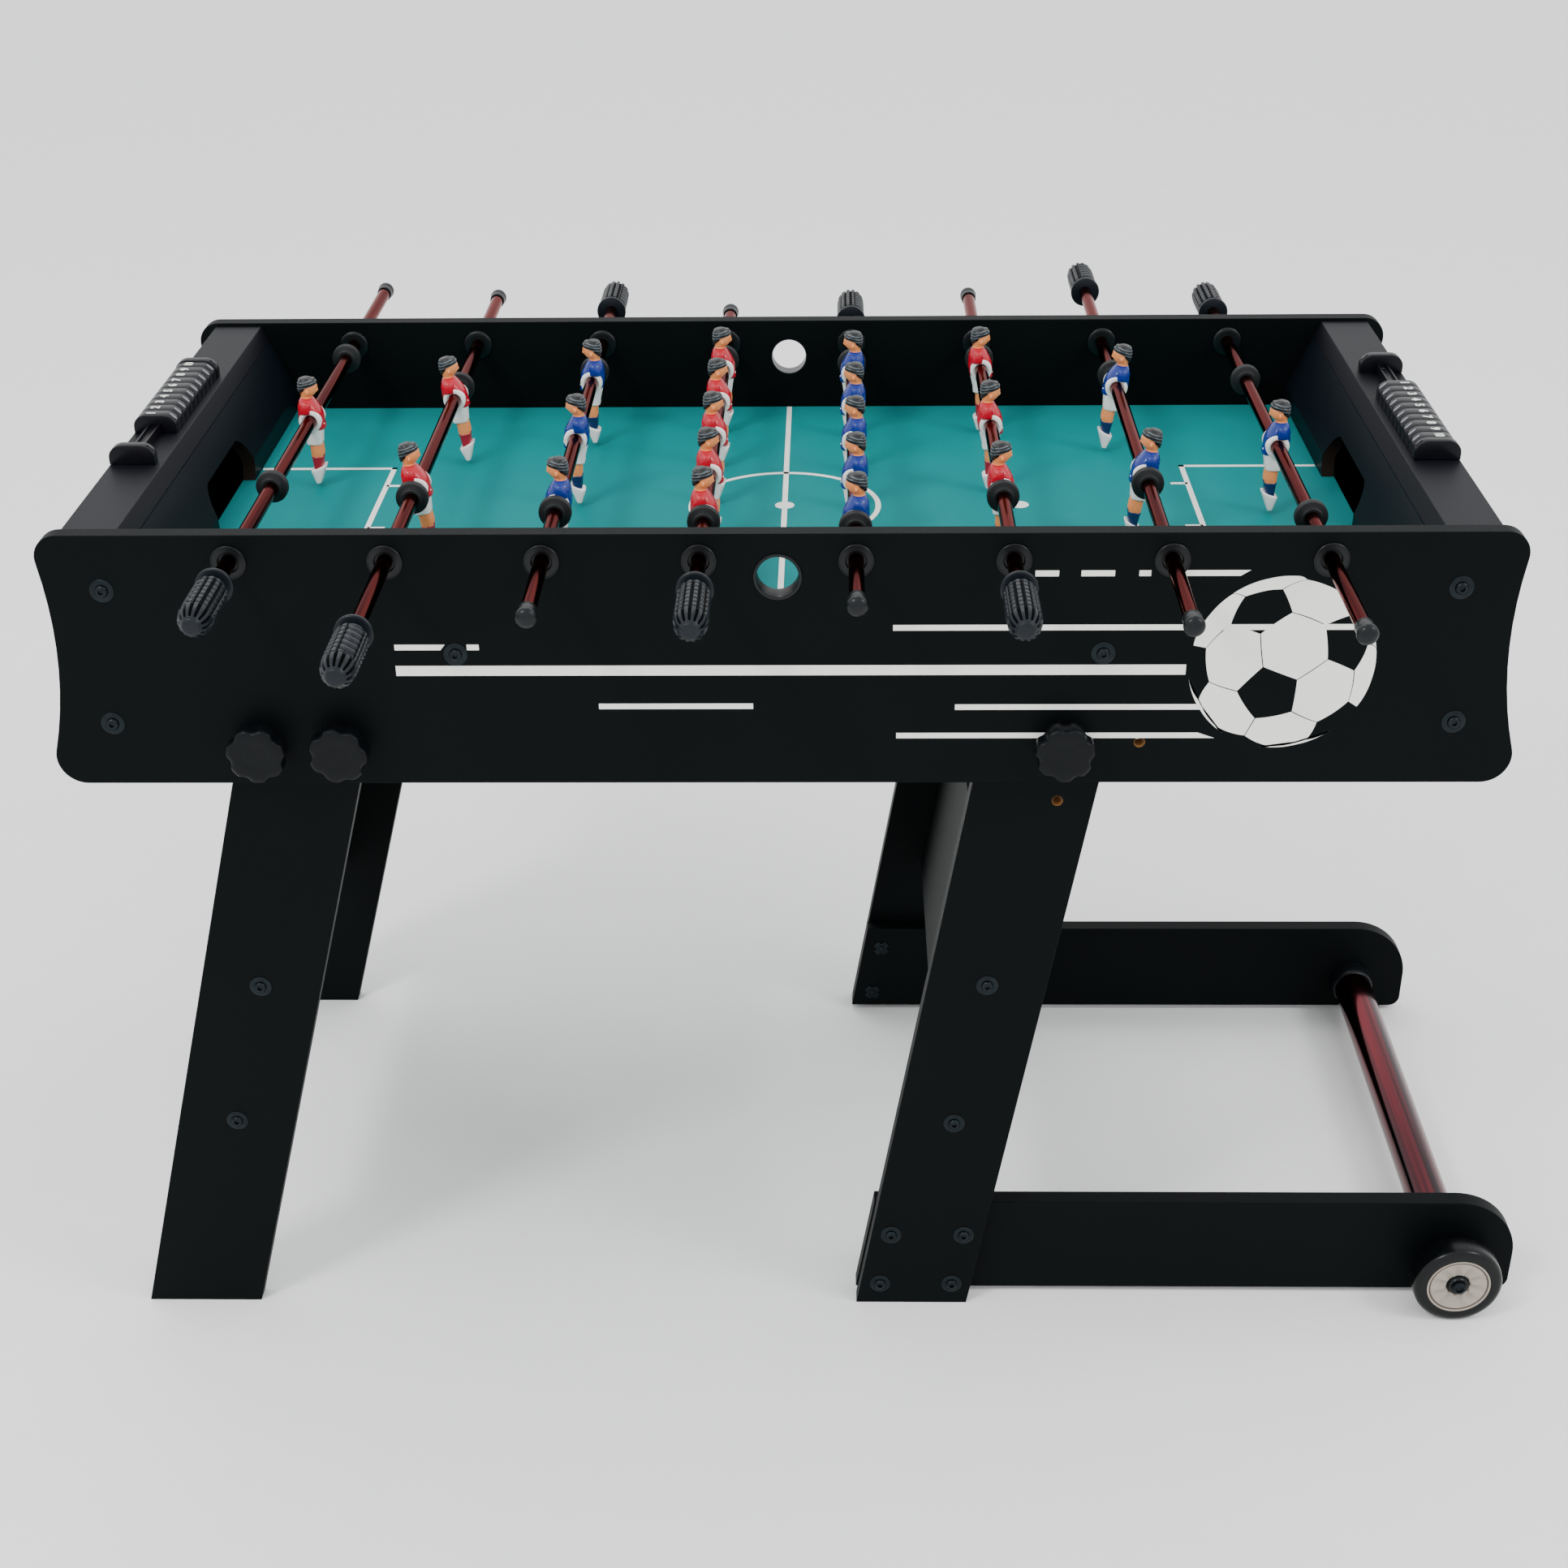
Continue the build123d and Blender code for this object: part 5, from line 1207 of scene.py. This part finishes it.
# ---------------------------------------------------------------- score counters
@dataclass
class Counters:
    """The two score counters: end blocks, bar and ten numbered beads on each top board."""

    half_width: float = 20.0
    height: float = 17.0
    shoulder: float = 6.0
    flat_half: float = 8.0
    block_t: float = 11.0
    bead_pitch: float = 16.0
    beads: int = 10
    bead_inset: float = 0.8
    bead_gap: float = 0.2
    digit_height: float = 8.6
    digit_out: float = 3.6
    digit_proud: float = 0.04

    def section(self, inset: float, ease: float = 0.0) -> np.ndarray:
        """The beads' outline, across and up in millimetres.

        Straight sides rise to the shoulder, a quarter of a squashed ellipse carries each on to the flat top, and
        the base is straight.
        """
        half, top = self.half_width - inset - ease, self.height - inset - ease
        bend = np.linspace(0, math.pi / 2, 9)
        across = self.flat_half + (half - self.flat_half) * np.cos(bend)
        up = self.shoulder + (top - self.shoulder) * np.sin(bend)
        right = np.stack([np.concatenate([[half, half], across[1:]]),
                          np.concatenate([[0.4 + ease, self.shoulder], up[1:]])], -1)
        left = right[::-1] * np.array([-1, 1])
        return np.concatenate([right, left])

    def block(self, shape: Shape, origin: Axis, y0: float, y1: float, inset: float) -> None:
        """Adds a block of the section between two places along the bar, with its end edges rounded over."""
        rows = []
        for y, ease in ((y0, 0.7), (y0 + 0.2, 0.25), (y0 + 0.7, 0.0), (y1 - 0.7, 0.0), (y1 - 0.2, 0.25), (y1, 0.7)):
            across, up = self.section(inset, ease).T
            rows.append(origin.place(across, y + 0 * across, up))
        shape.grid(np.stack(rows))

    def recess(self, shape: Shape, origin: Axis, y: float, inward: int, inset: float) -> None:
        """Adds a bead's long dimple on the slope facing the field, a shallow lens; on beads it is painted highlight."""
        bend = math.pi * 0.25
        half, top = self.half_width - inset, self.height - inset
        across = self.flat_half + (half - self.flat_half) * math.cos(bend)
        up = self.shoulder + (top - self.shoulder) * math.sin(bend)
        slope = np.array([(half - self.flat_half) * math.sin(bend), -(top - self.shoulder) * math.cos(bend)])
        slope /= np.linalg.norm(slope)
        normal = np.array([-slope[1], slope[0]])
        ring = superellipse(angles(20), 3.0)
        rows = []
        for size, lift in ((0.9, -0.6), (1.0, 0.05), (0.9, 0.3), (0.6, 0.36)):
            along = 3.9 * size * ring[0]
            rows.append(origin.place(inward * (across + slope[0] * along + normal[0] * lift),
                                     y + 1.35 * size * ring[1], up + slope[1] * along + normal[1] * lift))
        shape.grid(np.stack(rows), 1)

    def digits(self, number: int, origin: Axis, y: float, outward: int) -> bpy.types.Mesh:
        """A number as a raised mesh on a bead's flat top, its top turned away from the field."""
        text = bpy.data.curves.new(f"digits_{number}", "FONT")
        text.body = str(number)
        text.size = self.digit_height * MM * 1.25
        text.align_x, text.align_y = "CENTER", "CENTER"
        text.extrude = 0.12 * MM
        text.offset = 0.42 * MM
        text.resolution_u = 3
        holder = bpy.data.objects.new("digits", text)
        bpy.context.scene.collection.objects.link(holder)
        bpy.context.view_layer.update()
        mesh = bpy.data.meshes.new_from_object(holder.evaluated_get(bpy.context.evaluated_depsgraph_get()))
        bpy.data.objects.remove(holder)
        turn = Matrix.Rotation(-outward * math.pi / 2, 4, "Z")
        squeeze = Matrix.Diagonal((0.88 if number > 9 else 1.15, 1.0, 1.0, 1.0))
        top = self.height - self.bead_inset + self.digit_proud
        place = Matrix.Translation((origin.x + outward * self.digit_out * MM, origin.y + y * MM, origin.z + top * MM))
        mesh.transform(place @ turn @ squeeze)
        return mesh

    def build(self) -> None:
        """Builds both counters."""
        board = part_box("end_top_boards")[1][2]
        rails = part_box("scorer_rails")
        for name, side, body in (("score_beads_left", -1, "left_counter"), ("score_beads_right", 1, "right_counter")):
            low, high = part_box(name)
            origin = Axis((low[0] + high[0]) / 2, (rails[0][1] + rails[1][1]) / 2, board)
            start = (low[1] - origin.y) / MM
            shape = Shape()
            labels = []
            for index in range(self.beads):
                y = start + index * self.bead_pitch
                middle = y + self.bead_pitch / 2
                self.block(shape, origin, y, y + self.bead_pitch - self.bead_gap, self.bead_inset)
                # The dimple carries the bead's painted highlight.
                self.recess(shape, origin, middle, -side, self.bead_inset)
                labels.append(self.digits(index + 1 if side < 0 else self.beads - index, origin, middle, side))
            shape.piece(name + "_moulded", [BEAD_ABS, BEAD_PAINTED_HIGHLIGHT], body, "bead_plastic", (name,))
            self.label(labels, name + "_numbers", body)
        self.rails(board, rails)

    def label(self, labels: list[bpy.types.Mesh], name: str, body: str) -> None:
        """Joins a counter's numbers into one printed piece."""
        made = bpy.data.meshes.new(name)
        points, faces = [], []
        for label in labels:
            base = len(points)
            points += [tuple(vertex.co) for vertex in label.vertices]
            faces += [[base + index for index in polygon.vertices] for polygon in label.polygons]
        made.from_pydata(points, [], faces)
        made.materials.append(INK.material())
        settle(name, made, body)

    def rails(self, board: float, rails: tuple[Vector, Vector]) -> None:
        """Builds the end blocks and the channel bars, with a screw sunk in each bar's ends."""
        shape = Shape()
        half = (rails[1][1] - rails[0][1]) / 2 / MM
        for node in ("score_beads_left", "score_beads_right"):
            middle = centre_of(node)
            side = 1 if middle[0] > centre_of("playfield")[0] else -1
            origin = Axis(middle[0], (rails[0][1] + rails[1][1]) / 2, board)
            for start, end in ((-half, -half + self.block_t), (half - self.block_t, half)):
                self.block(shape, origin, start, end, 0.0)
                self.recess(shape, origin, (start + end) / 2, -side, 0.0)
            across, up = np.array([(-5, 0.02), (-5, 9), (-3.6, 9), (-2.9, 6.4), (2.9, 6.4), (3.6, 9), (5, 9),
                                   (5, 0.02)]).T
            shape.grid(np.stack([origin.place(across, y + 0 * across, up) for y in (-half + 4, 0, half - 4)]))
            turn = angles(20)
            screw_rows = np.array([(6.3, 2.5), (7.1, 2.5), (7.5, 1.9), (7.5, 1.1), (6.9, 0.7)])
            for y in (-half + self.block_t + 8, half - self.block_t - 8):
                radius = screw_rows[:, 1:]
                shape.grid(origin.place(radius * np.cos(turn), y + radius * np.sin(turn),
                                        screw_rows[:, :1] + 0 * turn), 1)
        shape.piece("counter_rails", [BEAD_ABS, BLACK_STEEL], "cabinet", "bead_plastic", ("scorer_rails",))


# ---------------------------------------------------------------- wheeled foot
@dataclass
class WheeledFoot:
    """The chromed foot tube in its end cups, and the two transport wheels."""

    tube_r: float = 20.5
    wheel_width: float = 28.0
    facets: int = 10

    def build(self) -> None:
        """Builds the tube, the cups and the wheels."""
        low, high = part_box("foot_tube")
        middle = (low + high) / 2
        length = (high[1] - low[1]) / MM
        tube, cups = Shape(), Shape()
        lathe(tube, Axis(middle[0], low[1], middle[2], 1), tube_profile(length, self.tube_r, 0.5), around=72)
        tube.piece("foot_bar", [TUBE_CHROME], "right_leg_frame", "tube_chrome", ("foot_tube",))
        low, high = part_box("tube_end_cups")
        for start, side in ((low[1], 1), (high[1], -1)):
            hollow_lathe(cups, Axis(middle[0], start, middle[2], side), [
                (0.0, 8.0), (0.0, 22.9), (0.6, 23.5), (12.0, 23.5), (16.5, 23.1), (19.5, 22.4), (21.4, 21.6),
                (22.0, 20.9), (21.6, 20.6), (8.0, 20.6), (8.0, 8.0)], around=60)
        cups.piece("foot_bar_cups", [CAP_ABS], "right_leg_frame", "cup_plastic", ("tube_end_cups",))
        for node, body, side in (("wheel_front", "front_wheel", -1), ("wheel_back", "back_wheel", 1)):
            self.wheel(node, body, side)

    def wheel(self, node: str, body: str, side: int) -> None:
        """Builds a wheel: a rounded tyre, a parting line, and a dished hub whose facets stand in and out by turns."""
        low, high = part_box(node)
        middle = (low + high) / 2
        outer = high[1] if side > 0 else low[1]
        axis = Axis(middle[0], outer, middle[2], side)
        shape = Shape()
        back = -self.wheel_width
        hollow_lathe(shape, axis, [
            (back, 26.0), (back, 37.5), (back + 1.2, 40.6), (back + 3.4, 42.2), (back + 6, 42.5), (-7.5, 42.5),
            (-4.2, 42.1), (-1.8, 40.6), (-0.4, 38.2), (0.0, 35.4), (-0.2, 31.4), (-1.0, 30.6), (-3.0, 30.4)],
                     around=96)
        hollow_lathe(shape, axis, [(-3.5, 28.4), (-0.9, 28.5), (-0.5, 29.2), (-0.7, 30.3), (-3.5, 30.5)], 1, around=96)
        hollow_lathe(shape, axis, [(-3.5, 27.0), (-1.6, 27.1), (-1.6, 28.3), (-3.5, 28.4)], 2, around=96)
        turn = angles(120)
        facet = (turn * self.facets / (2 * math.pi)) % 1
        step = np.where(facet < 0.5, 1.7, 0.0)
        step = np.convolve(np.concatenate([step[-1:], step, step[:1]]), np.ones(3) / 3, "valid")
        rows = np.array([(-6.0, 27.0, 0), (-1.4, 27.0, 0), (-1.0, 26.4, 0), (-1.3, 25.0, 0.3), (-2.6, 21.0, 0.9),
                         (-3.4, 16.0, 1.2), (-3.7, 12.6, 1.0), (-4.2, 11.4, 0.2), (-6.5, 11.0, 0)])
        along = rows[:, :1] + rows[:, 2:3] * (step - 0.5)
        radius = rows[:, 1:2] + 0 * turn
        shape.grid(axis.place(radius * np.cos(turn), along, radius * np.sin(turn)), 1)
        hollow_lathe(shape, axis, [(-24.0, 4.06), (-1.0, 4.06), (-0.4, 6.0), (-0.4, 8.6), (-1.6, 9.8), (-5.0, 10.6),
                                   (-5.0, 12.0), (-24.0, 12.0)], 3, around=48)
        hollow_lathe(shape, axis, [(back - 15.0, 4.06), (back - 15.0, 11.2), (back - 14.4, 12.0), (back + 3, 12.0),
                                   (back + 3, 26.2), (back + 0.6, 26.6), (back + 6, 27.0), (-8, 27.0), (-8, 4.06)], 3,
                     around=72)
        shape.piece(node + "_moulded", [TYRE, HUB, HUB_LINE, CAP_ABS], body, "wheel_tyre", (node,))


# ---------------------------------------------------------------- stage
@dataclass
class Stage:
    """Pale floor, soft lights and the camera.

    focal is the distance to a picture one unit wide, and rise how far the lens is shifted, in picture widths.
    """

    position: tuple[float, float, float] = (0.044, -2.080, 1.492)
    yaw_deg: float = -1.37
    pitch_deg: float = 31.77
    roll_deg: float = 0.67
    focal: float = 1.493271
    rise: float = 0.121118
    sensor_mm: float = 36.0
    floor_half: float = 40.0

    def camera(self) -> None:
        """Sets the camera: its frame's rows are right, up and back, from a yaw, a pitch down and a roll."""
        yaw, pitch, roll = (math.radians(angle) for angle in (self.yaw_deg, self.pitch_deg, self.roll_deg))
        ahead = np.array([math.sin(yaw) * math.cos(pitch), math.cos(yaw) * math.cos(pitch), -math.sin(pitch)])
        right = np.array([math.cos(yaw), -math.sin(yaw), 0.0])
        down = np.cross(ahead, right)
        right, down = (math.cos(roll) * right + math.sin(roll) * down,
                       math.cos(roll) * down - math.sin(roll) * right)
        data = bpy.data.cameras.new("camera")
        data.sensor_width = self.sensor_mm
        data.lens = self.focal * self.sensor_mm
        data.shift_y = self.rise
        data.clip_end = 5 * self.floor_half
        holder = bpy.data.objects.new("camera", data)
        field_middle = centre_of("playfield")
        turn = Matrix(np.stack([right, -down, -ahead], 1).tolist()).to_4x4()
        where = Vector((self.position[0] + field_middle[0], self.position[1] + field_middle[1], self.position[2]))
        holder.matrix_world = Matrix.Translation(where) @ turn
        bpy.context.scene.collection.objects.link(holder)
        bpy.context.scene.camera = holder

    def light(self, name: str, place: tuple[float, float, float], aim_z: float, size: float, watts: float) -> None:
        """Adds a soft square white light at a place, aimed at this height over the table's middle."""
        data = bpy.data.lights.new(name, "AREA")
        data.size = size
        data.energy = watts
        holder = bpy.data.objects.new(name, data)
        holder.location = place
        holder.rotation_euler = (Vector((0, 0, aim_z)) - Vector(place)).to_track_quat("-Z", "Y").to_euler()
        bpy.context.scene.collection.objects.link(holder)

    def build(self) -> None:
        """Sets the floor, the sky, the lights and the camera."""
        self.camera()
        floor = bpy.data.meshes.new("floor")
        half = self.floor_half
        floor.from_pydata([(-half, -half, 0), (half, -half, 0), (half, half, 0), (-half, half, 0)], [],
                          [(0, 1, 2, 3)])
        floor.materials.append(FLOOR.material())
        holder = bpy.data.objects.new("floor", floor)
        bpy.context.scene.collection.objects.link(holder)
        world = bpy.data.worlds.new("studio")
        world.use_nodes = True
        world.node_tree.nodes.clear()
        sky = add(world.node_tree, "ShaderNodeBackground", {"Color": linear("#fafbfc"), "Strength": 1.75})
        add(world.node_tree, "ShaderNodeOutputWorld", {"Surface": sky.outputs[0]})
        bpy.context.scene.world = world
        self.light("key", (-1.7, -2.0, 3.2), 0.6, 0.7, 60)
        self.light("fill", (2.4, -1.2, 2.6), 0.6, 0.9, 35)
        self.light("rim", (-0.6, 1.6, 3.6), 0.7, 0.8, 14)


def main() -> None:
    """Builds the stage and every sub-assembly in order."""
    logging.basicConfig(level=logging.INFO, format="%(message)s")
    Stage().build()
    cabinet = Cabinet()
    cabinet.dress()
    cabinet.print_field()
    cabinet.entry_rings()
    SidePrint().build()
    Screws().build()
    Knobs().build()
    RodSet().build()
    Players().build()
    Counters().build()
    WheeledFoot().build()


if __name__ == "__main__":
    main()
